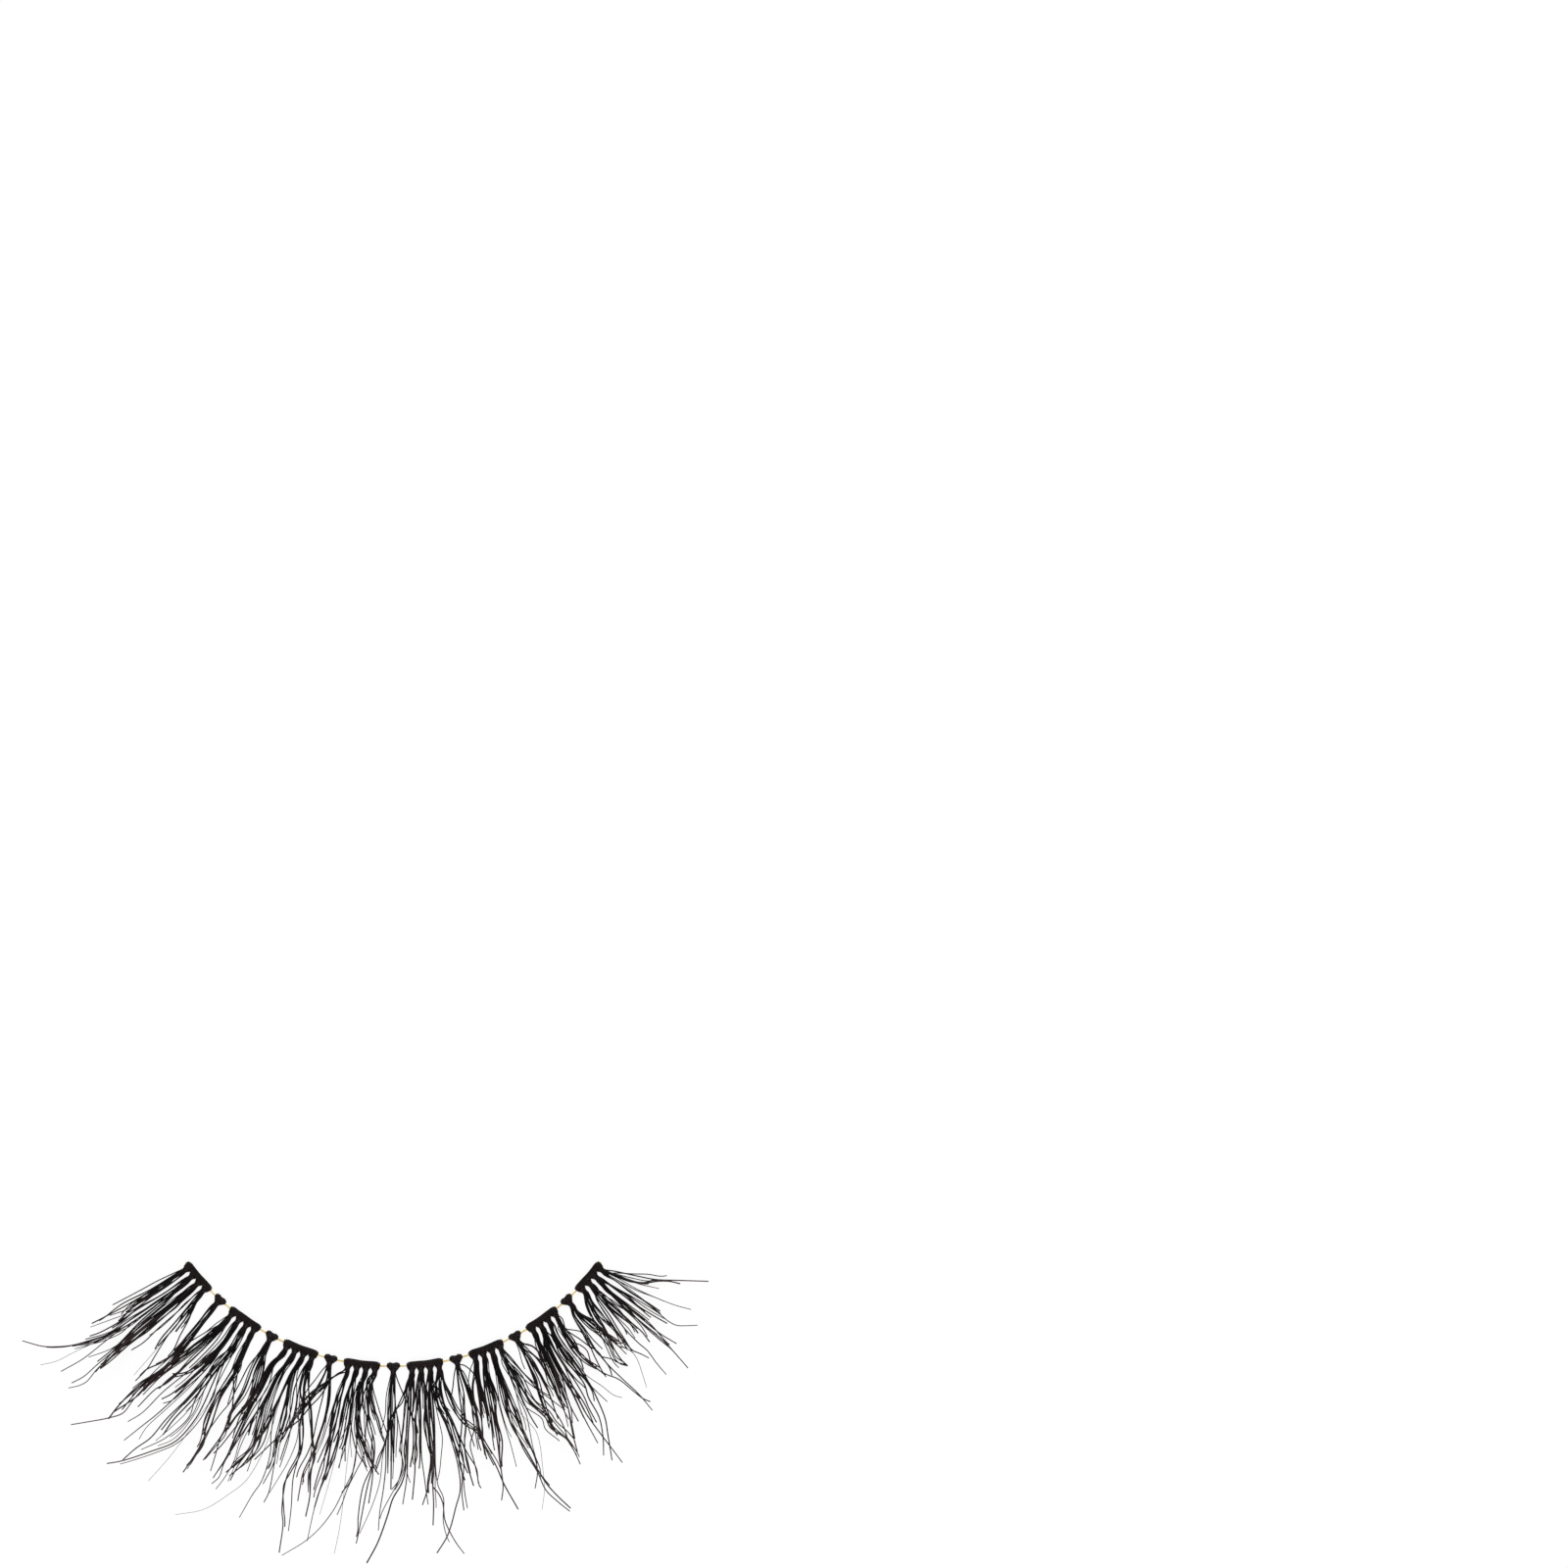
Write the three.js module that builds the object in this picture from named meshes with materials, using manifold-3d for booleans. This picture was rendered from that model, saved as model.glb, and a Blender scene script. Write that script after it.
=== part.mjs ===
// A hand-tied false eyelash strip for one eye, lying on a flat surface with its curl upwards.
// Tufts of hair are knotted side by side on one curved band thread: wide bars of several knots, with one
// single knot between each two bars. Millimetres, +Z up. The origin is on the surface under the middle of
// the band, +X runs along the band to its inner end, and the hair points towards -Y.
import * as THREE from "three";
import { mergeVertices } from "three/addons/utils/BufferGeometryUtils.js";
import Module from "manifold-3d";

const wasm = await Module();
wasm.setup();

// Band: the arc that the thread follows, as it lies on the surface
const bandChord = 28.5; // straight from one end of the strip to the other
const bandSag = 7.1; // from that line to the middle of the band
const threadDiameter = 0.13;
const threadClearance = 0.02; // between the thread and its channel through a knot, all round
const threadTail = 0.12; // thread that stands out past each end bar
const threadGap = 0.46; // thread left bare between two tufts, before it is evened out

// Knots
const knotsInBar = 4;
const barKnotWidth = 0.62; // one knot of a bar, along the band
const singleKnotWidth = 0.93; // along the band
const knotHeight = 0.54; // across the band
const knotThickness = 0.46; // up from the surface
const rootWidth = 0.33; // of the root that the hair leaves a knot by
const rootReach = 0.62; // from the band to the root's end
const rootThickness = 0.24;

// Hair locks
const hairLength = 10; // the longest lock that isn't a flyaway, seen from above
const lockThickness = 0.12;
const lockGap = 0.015; // between two locks where they leave a root
const lockInset = 0.045; // between the thread's channel and the end that a lock has inside its knot
const lockSplay = 0.26; // how far a root's outer locks end from its middle, along the band
const fanSplay = 0.42; // how far a bar's end roots lean apart, along the band
const flyawayWidth = 0.09;
const bellyReach = 2; // from the band to where the hair touches the surface
const curlRadius = 14; // of the upward curl past that point

// Lean in degrees and length as a share of hairLength, from the strip's outer end (0) to its inner end (1)
const hairAlongBand = [
  { at: 0.0, lean: -4, reach: 0.8 },
  { at: 0.08, lean: 0, reach: 0.92 },
  { at: 0.18, lean: 3, reach: 1.0 },
  { at: 0.35, lean: 2, reach: 0.95 },
  { at: 0.5, lean: -1, reach: 0.9 },
  { at: 0.65, lean: -5, reach: 0.9 },
  { at: 0.8, lean: -10, reach: 0.84 },
  { at: 0.9, lean: -8, reach: 0.68 },
  { at: 1.0, lean: 8, reach: 0.7 },
];

// The locks of one root, side by side: the side that each ends on, as a share of lockSplay, and its length as
// a share of the reach
const outerRootLocks = [
  { side: -1, reach: 0.82 },
  { side: 0.1, reach: 1 },
  { side: 1, reach: 0.72 },
];
const innerRootLocks = [
  { side: -0.7, reach: 0.94 },
  { side: 0.75, reach: 0.8 },
];

// Single long hairs of a bar: from is the place in the bar, 0 at its middle and 1 at its inner end, drift is
// how far along the band the tip ends from there, as a share of barKnotWidth, beyond is the length as a share
// of hairLength, and bow the bulge along the band as a share of its length
const flyaways = [
  { bar: 1, from: -0.89, drift: -2.4, beyond: 1.2, bow: 0.02 },
  { bar: 1, from: 0, drift: -0.1, beyond: 1.05, bow: 0 },
  { bar: 2, from: -0.5, drift: -0.55, beyond: 1.2, bow: 0.003 },
  { bar: 2, from: 0.5, drift: 0.45, beyond: 1.16, bow: 0 },
  { bar: 3, from: -0.5, drift: -0.4, beyond: 1.2, bow: 0 },
  { bar: 3, from: 0.5, drift: 0.5, beyond: 1.32, bow: 0 },
  { bar: 4, from: -0.5, drift: -0.55, beyond: 1.36, bow: 0.003 },
  { bar: 4, from: 0.5, drift: 0.45, beyond: 1.2, bow: 0 },
  { bar: 5, from: -0.5, drift: -0.45, beyond: 1.34, bow: 0 },
  { bar: 5, from: 0.5, drift: 0.5, beyond: 1.3, bow: 0 },
  { bar: 6, from: 0, drift: -0.1, beyond: 1.12, bow: 0 },
  { bar: 6, from: 0.5, drift: 0.45, beyond: 1.12, bow: 0 },
  { bar: 7, from: -0.5, drift: -0.4, beyond: 1.1, bow: 0 },
  { bar: 8, from: -0.5, drift: -0.45, beyond: 0.9, bow: 0 },
  { bar: 8, from: 0, drift: 0.1, beyond: 0.86, bow: 0 },
  { bar: 8, from: 0.89, drift: 2.9, beyond: 0.74, bow: -0.015 },
];

// Sections through one knot, side by side along the band: at is the place from its middle, inner and outer
// are its edges across the band as shares of knotHeight, root goes from no root (0) to the whole of it (1),
// and thick is a share of knotThickness
const barKnotSections = [
  { at: -0.39 * barKnotWidth, inner: -0.47, outer: 0.3, root: 0, thick: 0.86 },
  { at: -0.5 * rootWidth, inner: -0.5, outer: 0.36, root: 1, thick: 1 },
  { at: 0.5 * rootWidth, inner: -0.5, outer: 0.36, root: 1, thick: 1 },
  { at: 0.39 * barKnotWidth, inner: -0.47, outer: 0.3, root: 0, thick: 0.86 },
];
const singleKnotSections = [
  { at: -0.5 * singleKnotWidth, inner: -0.36, outer: -0.08, root: 0, thick: 0.62 },
  { at: -0.34 * singleKnotWidth, inner: -0.5, outer: 0.16, root: 0, thick: 0.95 },
  { at: -0.5 * rootWidth, inner: -0.48, outer: 0.34, root: 1, thick: 1 },
  { at: 0, inner: -0.38, outer: 0.36, root: 1, thick: 1 },
  { at: 0.5 * rootWidth, inner: -0.48, outer: 0.34, root: 1, thick: 1 },
  { at: 0.34 * singleKnotWidth, inner: -0.5, outer: 0.16, root: 0, thick: 0.95 },
  { at: 0.5 * singleKnotWidth, inner: -0.36, outer: -0.08, root: 0, thick: 0.62 },
];
const innerBevel = 0.1; // of a knot's inner edge, across the band, as a share of knotHeight
const bluntInner = 0.6; // height of that edge's flat face, as a share of the knot's thickness there
const bluntOuter = 0.7; // the same of its outer edge where it has no root

// Stations of a lock past the belly, as shares of the way to its tip, with the width there
const lockTaper = [
  { along: 0, wide: 1 },
  { along: 0.4, wide: 0.85 },
  { along: 0.75, wide: 0.6 },
  { along: 1, wide: 0.25 },
];
const lockSides = 4;
const threadSides = 6;
const threadSteps = 36;
const finestDetail = 0.01; // joins between a knot and its locks are smoothed to this

const bandAngle = 4 * Math.atan((2 * bandSag) / bandChord);
const bandRadius = bandChord / 2 / Math.sin(bandAngle / 2);
const bandLength = bandRadius * bandAngle;
const barWidth = knotsInBar * barKnotWidth;
const threadHeight = knotThickness / 2;
const lockStart = threadDiameter / 2 + threadClearance + lockInset;

const hairMaterial = new THREE.MeshStandardMaterial({ color: 0x14100f, roughness: 0.45, metalness: 0 });
const threadMaterial = new THREE.MeshStandardMaterial({ color: 0xe3bf5a, roughness: 0.6, metalness: 0 });

// Straight-line interpolation in a table whose rows have an at column
function lookUp(table, column, at) {
  const next = table.findIndex((row) => row.at >= at);
  if (next === -1) return table.at(-1)[column];
  if (next === 0) return table[0][column];
  const [a, b] = [table[next - 1], table[next]];
  return THREE.MathUtils.lerp(a[column], b[column], (at - a.at) / (b.at - a.at));
}

const shareOfBand = (along) => along / bandLength + 0.5;

// The point of the surface at a length along the band from its middle, and out from the band with the hair
function planPoint(along, out) {
  const angle = along / bandRadius;
  const lean = THREE.MathUtils.degToRad(lookUp(hairAlongBand, "lean", shareOfBand(along)));
  const sideways = Math.tan(lean) * Math.max(0, out - knotHeight / 2);
  return new THREE.Vector2(
    (bandRadius + out) * Math.sin(angle) + sideways * Math.cos(angle),
    bandRadius - (bandRadius + out) * Math.cos(angle) + sideways * Math.sin(angle),
  );
}

// The height of a lock's underside over the surface: down from its knot to the belly, and up round the curl
function undersideAt(out, thickness) {
  if (out < bellyReach) {
    const left = 1 - out / bellyReach;
    return ((knotThickness - thickness) / 2) * left ** 2;
  }
  return (out - bellyReach) ** 2 / (2 * curlRadius);
}

// A closed body through rings of points, each ring turning the same way
function loft(rings) {
  const sides = rings[0].length;
  const position = [];
  const index = [];
  for (const ring of rings) for (const point of ring) position.push(point.x, point.y, point.z);
  for (let r = 0; r < rings.length - 1; r++) {
    for (let s = 0; s < sides; s++) {
      const [a, b] = [r * sides + s, r * sides + ((s + 1) % sides)];
      index.push(a, b, a + sides, b, b + sides, a + sides);
    }
  }
  const last = (rings.length - 1) * sides;
  for (let s = 1; s < sides - 1; s++) {
    index.push(0, s + 1, s);
    index.push(last, last + s, last + s + 1);
  }
  const geometry = new THREE.BufferGeometry();
  geometry.setAttribute("position", new THREE.Float32BufferAttribute(position, 3));
  geometry.setIndex(index);
  return geometry;
}

function solidFrom(geometry) {
  const bare = geometry.clone();
  bare.deleteAttribute("normal");
  bare.deleteAttribute("uv");
  const merged = mergeVertices(bare);
  return new wasm.Manifold(
    new wasm.Mesh({
      numProp: 3,
      vertProperties: merged.attributes.position.array,
      triVerts: new Uint32Array(merged.index.array),
    }),
  );
}

function geometryFrom(solid) {
  const mesh = solid.getMesh();
  const geometry = new THREE.BufferGeometry();
  geometry.setAttribute("position", new THREE.BufferAttribute(mesh.vertProperties, 3));
  geometry.setIndex(new THREE.BufferAttribute(mesh.triVerts, 1));
  return geometry;
}

const joined = (solids) => wasm.Manifold.union(solids).simplify(finestDetail);

// The thread's route, from one tail to the other
class BandArc extends THREE.Curve {
  getPoint(share) {
    const along = (share - 0.5) * (bandLength + 2 * threadTail);
    const { x, y } = planPoint(along, 0);
    return new THREE.Vector3(x, y, threadHeight);
  }
}

function threadTube(diameter) {
  const section = new THREE.Shape();
  for (let s = 0; s < threadSides; s++) {
    const turn = (2 * Math.PI * (s + 0.5)) / threadSides;
    const [x, y] = [(Math.cos(turn) * diameter) / 2, (Math.sin(turn) * diameter) / 2];
    if (s === 0) section.moveTo(x, y);
    else section.lineTo(x, y);
  }
  return new THREE.ExtrudeGeometry(section, { steps: threadSteps, extrudePath: new BandArc() });
}

const channel = solidFrom(threadTube(threadDiameter + 2 * threadClearance));

// Knots in one body, by sections that run along the band; each section is a closed outline from the knot's
// inner edge, over it to its root, and back under it
function knotBody(middle, sections) {
  const rings = sections.map(({ at, inner, outer, root, thick }) => {
    const high = thick * knotThickness;
    const [low, top] = [(knotThickness - high) / 2, (knotThickness + high) / 2];
    const innerLow = (knotThickness - bluntInner * high) / 2;
    const outerHigh = bluntOuter * high;
    const edge = root ? rootReach : outer * knotHeight + (high - outerHigh) / 2;
    const edgeHigh = root ? rootThickness : outerHigh;
    const edgeLow = root ? undersideAt(edge, rootThickness) : (knotThickness - outerHigh) / 2;
    return [
      [inner * knotHeight, innerLow],
      [inner * knotHeight, knotThickness - innerLow],
      [(inner + innerBevel) * knotHeight, top],
      [outer * knotHeight, top],
      [edge, edgeLow + edgeHigh],
      [edge, edgeLow],
      [outer * knotHeight, low],
      [(inner + innerBevel) * knotHeight, low],
    ].map(([out, height]) => {
      const { x, y } = planPoint(middle + at, out);
      return new THREE.Vector3(x, y, height);
    });
  });
  return solidFrom(loft(rings)).subtract(channel);
}

// A tapered lock of hair; from and to are the places along the band of its two ends
function lock({ from, to, length, width, bow = 0 }) {
  const stations = [
    { out: lockStart, wide: 1 },
    ...lockTaper.map(({ along, wide }) => ({ out: THREE.MathUtils.lerp(bellyReach, length, along), wide })),
  ];
  const centreAt = (out, thickness) => {
    const share = (out - lockStart) / (length - lockStart);
    const along = from + (to - from) * share + bow * length * Math.sin(Math.PI * share);
    const { x, y } = planPoint(along, out);
    return new THREE.Vector3(x, y, undersideAt(out, thickness) + thickness / 2);
  };
  const rings = stations.map(({ out, wide }) => {
    const thickness = Math.min(lockThickness, width) * wide;
    const centre = centreAt(out, thickness);
    const forward = centreAt(out + lockThickness / 10, thickness).sub(centre).normalize();
    const across = new THREE.Vector3(0, 0, 1).cross(forward).normalize();
    return Array.from({ length: lockSides }, (_, s) => {
      const turn = (2 * Math.PI * s) / lockSides - Math.PI / 2;
      return centre
        .clone()
        .addScaledVector(across, (Math.cos(turn) * wide * width) / 2)
        .add(new THREE.Vector3(0, 0, (Math.sin(turn) * thickness) / 2));
    });
  });
  return solidFrom(loft(rings));
}

// The locks that leave one root side by side
function rootLocks(root, fan, locks) {
  const share = rootWidth / locks.length;
  return locks.map(({ side, reach }, i) =>
    lock({
      from: root + (i - (locks.length - 1) / 2) * share,
      to: root + fan + side * lockSplay,
      length: hairLength * lookUp(hairAlongBand, "reach", shareOfBand(root)) * reach,
      width: share - lockGap,
    }),
  );
}

function tuftMesh(name, solids) {
  const mesh = new THREE.Mesh(geometryFrom(joined(solids)), hairMaterial);
  mesh.name = name;
  return mesh;
}

// A bar: knots side by side in one ridge, a fan of locks, and its flyaways
function barTuft(number, middle) {
  const roots = Array.from({ length: knotsInBar }, (_, k) => (k - (knotsInBar - 1) / 2) * barKnotWidth);
  const sections = roots.flatMap((root) =>
    barKnotSections.map((section) => ({ ...section, at: root + section.at })),
  );
  const solids = roots.flatMap((root) => {
    const place = roots.length > 1 ? root / roots.at(-1) : 0;
    const locks = Math.abs(place) === 1 ? outerRootLocks : innerRootLocks;
    return rootLocks(middle + root, place * fanSplay, locks);
  });
  for (const { from, drift, beyond, bow } of flyaways.filter(({ bar }) => bar === number)) {
    const root = middle + (from * barWidth) / 2;
    const to = root + drift * barKnotWidth;
    solids.push(lock({ from: root, to, length: beyond * hairLength, width: flyawayWidth, bow }));
  }
  return tuftMesh(`bar_tuft_${number}`, [knotBody(middle, sections), ...solids]);
}

function singleTuft(number, middle) {
  const solids = [knotBody(middle, singleKnotSections), ...rootLocks(middle, 0, outerRootLocks)];
  return tuftMesh(`single_tuft_${number}`, solids);
}

const strip = new THREE.Group();
strip.name = "lash_strip";

const thread = new THREE.Mesh(threadTube(threadDiameter), threadMaterial);
thread.name = "band_thread";
strip.add(thread);

// As many pairs of a bar and a single knot as the band holds, and a last bar; the bare thread is evened out
const pairs = Math.round((bandLength - barWidth) / (barWidth + singleKnotWidth + 2 * threadGap));
const bareThread = (bandLength - (pairs + 1) * barWidth - pairs * singleKnotWidth) / (2 * pairs);
let edge = -bandLength / 2;
for (let pair = 0; pair <= pairs; pair++) {
  strip.add(barTuft(pair + 1, edge + barWidth / 2));
  edge += barWidth + bareThread;
  if (pair < pairs) strip.add(singleTuft(pair + 1, edge + singleKnotWidth / 2));
  edge += singleKnotWidth + bareThread;
}

export default strip;
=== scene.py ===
import math
import random

import bpy
import numpy as np
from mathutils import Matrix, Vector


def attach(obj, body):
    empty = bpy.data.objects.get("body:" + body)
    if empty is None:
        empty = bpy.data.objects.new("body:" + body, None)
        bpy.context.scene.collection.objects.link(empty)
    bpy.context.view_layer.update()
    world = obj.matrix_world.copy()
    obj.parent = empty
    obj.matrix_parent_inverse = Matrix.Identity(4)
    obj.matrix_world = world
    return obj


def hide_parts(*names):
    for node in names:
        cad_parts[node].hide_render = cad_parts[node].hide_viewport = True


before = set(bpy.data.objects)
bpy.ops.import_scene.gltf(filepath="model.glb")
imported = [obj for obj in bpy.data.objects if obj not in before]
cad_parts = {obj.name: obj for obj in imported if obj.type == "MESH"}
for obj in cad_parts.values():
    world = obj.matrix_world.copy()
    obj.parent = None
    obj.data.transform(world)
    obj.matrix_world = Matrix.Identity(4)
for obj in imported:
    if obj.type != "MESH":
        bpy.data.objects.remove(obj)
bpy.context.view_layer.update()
mm = 0.001
print("frame loaded")


# the thread's arc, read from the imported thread: all is placed along it and out from it, in mm
def nodePoints(name):
    return np.array([v.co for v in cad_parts[name].data.vertices], float) / mm


threadPoints = nodePoints("band_thread")
squares = threadPoints[:, 0] ** 2 + threadPoints[:, 1] ** 2
bandRadius = float(squares @ threadPoints[:, 1] / (2 * (threadPoints[:, 1] ** 2).sum()))
threadHeight = float(threadPoints[:, 2].min() + threadPoints[:, 2].max()) / 2


def bandPoint(along, out, up):
    turn = along / bandRadius
    return (
        (bandRadius + out) * math.sin(turn),
        bandRadius - (bandRadius + out) * math.cos(turn),
        up,
    )


def bandPlace(points):
    turn = np.arctan2(points[:, 0], bandRadius - points[:, 1])
    return turn * bandRadius, np.hypot(points[:, 0], bandRadius - points[:, 1]) - bandRadius


def tuftMiddle(name):
    along, out = bandPlace(nodePoints(name))
    near = along[np.abs(out) < 0.26]
    return float(near.min() + near.max()) / 2


def smoothLine(points, cuts):
    # a smooth line through the points that doesn't overshoot, cuts[i] steps from point i to the next
    p = np.array(points, float)
    p = np.vstack([2 * p[0] - p[1], p, 2 * p[-1] - p[-2]])
    line, marks = [], []
    for i in range(1, len(p) - 2):
        knots = [0.0]
        for a, b in ((p[i - 1], p[i]), (p[i], p[i + 1]), (p[i + 1], p[i + 2])):
            knots.append(knots[-1] + max(float(np.linalg.norm(b - a)), 1e-6) ** 0.5)
        t0, t1, t2, t3 = knots
        for step in range(cuts[i - 1]):
            share = step / cuts[i - 1]
            t = t1 + (t2 - t1) * share
            a1 = (t1 - t) / (t1 - t0) * p[i - 1] + (t - t0) / (t1 - t0) * p[i]
            a2 = (t2 - t) / (t2 - t1) * p[i] + (t - t1) / (t2 - t1) * p[i + 1]
            a3 = (t3 - t) / (t3 - t2) * p[i + 1] + (t - t2) / (t3 - t2) * p[i + 2]
            b1 = (t2 - t) / (t2 - t0) * a1 + (t - t0) / (t2 - t0) * a2
            b2 = (t3 - t) / (t3 - t1) * a2 + (t - t1) / (t3 - t1) * a3
            line.append((t2 - t) / (t2 - t1) * b1 + (t - t1) / (t2 - t1) * b2)
            marks.append(i - 1 + share)
    line.append(p[-2])
    marks.append(float(len(points) - 1))
    return np.array(line), np.array(marks)


tubeEnd = 0.55      # how far a tube's end point stands out, in radii


def tubeMesh(line, radii, sides, flat=1.0):
    # one closed tube along the line, its sides carried round without twist
    tangents = np.gradient(line, axis=0)
    tangents /= np.linalg.norm(tangents, axis=1)[:, None]
    side = np.cross(tangents[0], (0.0, 0.0, 1.0))
    if np.linalg.norm(side) < 1e-3:
        side = np.cross(tangents[0], (1.0, 0.0, 0.0))
    across = []
    for t in tangents:
        side = side - t * (side @ t)
        side = side / np.linalg.norm(side)
        across.append(side)
    across = np.array(across)
    rise = np.cross(tangents, across)
    angles = np.arange(sides) * 2 * math.pi / sides
    sideways = np.cos(angles)[None, :, None] * across[:, None, :]
    upwards = np.sin(angles)[None, :, None] * rise[:, None, :]
    verts = line[:, None, :] + radii[:, None, None] * (sideways + flat * upwards)
    count = len(line)
    steps = np.concatenate([[0.0], np.cumsum(np.linalg.norm(np.diff(line, axis=0), axis=1))])
    fibre = np.empty((count, sides, 3))
    fibre[:, :, 0] = np.cos(angles)[None, :]
    fibre[:, :, 1] = np.sin(angles)[None, :]
    fibre[:, :, 2] = steps[:, None]
    firstEnd = line[0] - tangents[0] * radii[0] * tubeEnd
    lastEnd = line[-1] + tangents[-1] * radii[-1] * tubeEnd
    ends = np.array([firstEnd, lastEnd])
    verts = np.vstack([verts.reshape(-1, 3), ends])
    fibre = np.vstack([fibre.reshape(-1, 3), [[0, 0, 0], [0, 0, steps[-1]]]])
    first = np.arange(count - 1)[:, None] * sides
    here = np.arange(sides)[None, :]
    after = (here + 1) % sides
    quads = np.stack([first + here, first + after, first + sides + after, first + sides + here], axis=2)
    last = (count - 1) * sides
    faces = quads.reshape(-1, 4).tolist()
    faces += [[count * sides, (k + 1) % sides, k] for k in range(sides)]
    faces += [[count * sides + 1, last + k, last + (k + 1) % sides] for k in range(sides)]
    return verts, faces, fibre


class Bundle:
    # gathers many tubes into one mesh, with what the material reads kept on each vertex
    def __init__(self):
        self.verts, self.faces, self.fibre, self.shade = [], [], [], []
        self.count = 0

    def add(self, mesh, shade):
        verts, faces, fibre = mesh
        self.verts.append(verts)
        self.fibre.append(fibre)
        self.shade.append(shade)
        self.faces += [[v + self.count for v in face] for face in faces]
        self.count += len(verts)

    def piece(self, name, material):
        mesh = bpy.data.meshes.new(name)
        verts = np.vstack(self.verts) * mm
        mesh.from_pydata(verts.tolist(), [], self.faces)
        mesh.polygons.foreach_set("use_smooth", [True] * len(mesh.polygons))
        fibre = mesh.attributes.new("fibre", "FLOAT_VECTOR", "POINT")
        fibre.data.foreach_set("vector", np.vstack(self.fibre).astype(np.float32).ravel())
        shade = np.vstack(self.shade).astype(np.float32)
        for column, attribute in enumerate(("along", "tone", "knotted")):
            values = mesh.attributes.new(attribute, "FLOAT", "POINT")
            values.data.foreach_set("value", shade[:, column].copy())
        mesh.materials.append(material)
        mesh.update()
        made = bpy.data.objects.new(name, mesh)
        bpy.context.scene.collection.objects.link(made)
        return made


def spread(values, sides):
    # a value a ring, repeated for its vertices and the two end points
    values = np.asarray(values, float)
    return np.concatenate([np.repeat(values, sides), [values[0], values[-1]]])


def plainShade(mesh, along=0.0, tone=0.0, knotted=0.0):
    # one value all over a tube
    return np.tile((along, tone, knotted), (len(mesh[0]), 1))


# node helpers, and the effects that both materials and the floor share
def newGroup(name, inputs, outputs):
    group = bpy.data.node_groups.new(name, "ShaderNodeTree")
    for label, kind, value in inputs:
        socket = group.interface.new_socket(name=label, in_out="INPUT", socket_type=kind)
        socket.default_value = value
    for label, kind in outputs:
        group.interface.new_socket(name=label, in_out="OUTPUT", socket_type=kind)
    start = group.nodes.new("NodeGroupInput")
    end = group.nodes.new("NodeGroupOutput")
    return group, start, end


def node(tree, kind, **settings):
    made = tree.nodes.new(kind)
    for key, value in settings.items():
        setattr(made, key, value)
    return made


def mathNode(tree, operation, a, b=None, clamp=False):
    made = node(tree, "ShaderNodeMath", operation=operation, use_clamp=clamp)
    for socket, value in zip(made.inputs, (a, b)):
        if isinstance(value, (int, float)):
            socket.default_value = value
        elif value is not None:
            tree.links.new(value, socket)
    return made.outputs[0]


def mixColour(tree, factor, a, b, blend="MIX"):
    made = node(tree, "ShaderNodeMix", data_type="RGBA", blend_type=blend)
    for socket, value in ((made.inputs[0], factor), (made.inputs[6], a), (made.inputs[7], b)):
        if isinstance(value, (int, float)):
            socket.default_value = value
        elif isinstance(value, tuple):
            socket.default_value = value
        else:
            tree.links.new(value, socket)
    return made.outputs[2]


def ramp(tree, factor, low, high):
    made = node(tree, "ShaderNodeMapRange", interpolation_type="SMOOTHSTEP")
    tree.links.new(factor, made.inputs[0])
    made.inputs[1].default_value = low
    made.inputs[2].default_value = high
    return made.outputs[0]


def attributeNode(tree, name):
    return node(tree, "ShaderNodeAttribute", attribute_type="GEOMETRY", attribute_name=name)


def noise(tree, vector, scale, detail, rough=0.5):
    made = node(tree, "ShaderNodeTexNoise")
    tree.links.new(vector, made.inputs["Vector"])
    made.inputs["Scale"].default_value = scale
    made.inputs["Detail"].default_value = detail
    made.inputs["Roughness"].default_value = rough
    return made


def makeFibreStreaks():
    # long fine streaks and faint cross scales that run with each fibre
    group, start, end = newGroup(
        "fibreStreaks",
        [
            ("Streak Length", "NodeSocketFloat", 0.5),
            ("Streak Count", "NodeSocketFloat", 3.0),
            ("Scales", "NodeSocketFloat", 30.0),
        ],
        [("Streak", "NodeSocketFloat"), ("Height", "NodeSocketFloat")],
    )
    fibre = attributeNode(group, "fibre")
    parts = node(group, "ShaderNodeSeparateXYZ")
    group.links.new(fibre.outputs["Vector"], parts.inputs[0])
    stretched = node(group, "ShaderNodeCombineXYZ")
    for axis, label in enumerate(("Streak Count", "Streak Count", "Streak Length")):
        stretch = mathNode(group, "MULTIPLY", parts.outputs[axis], start.outputs[label])
        group.links.new(stretch, stretched.inputs[axis])
    streak = noise(group, stretched.outputs[0], 1.0, 3.0, 0.6)
    group.links.new(streak.outputs["Fac"], end.inputs["Streak"])
    scaled = node(group, "ShaderNodeCombineXYZ")
    group.links.new(parts.outputs[0], scaled.inputs[0])
    group.links.new(parts.outputs[1], scaled.inputs[1])
    group.links.new(mathNode(group, "MULTIPLY", parts.outputs[2], start.outputs["Scales"]), scaled.inputs[2])
    scales = noise(group, scaled.outputs[0], 1.0, 2.0, 0.5)
    both = mathNode(group, "MULTIPLY", scales.outputs["Fac"], 0.45)
    group.links.new(mathNode(group, "ADD", both, streak.outputs["Fac"]), end.inputs["Height"])
    return group


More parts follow.
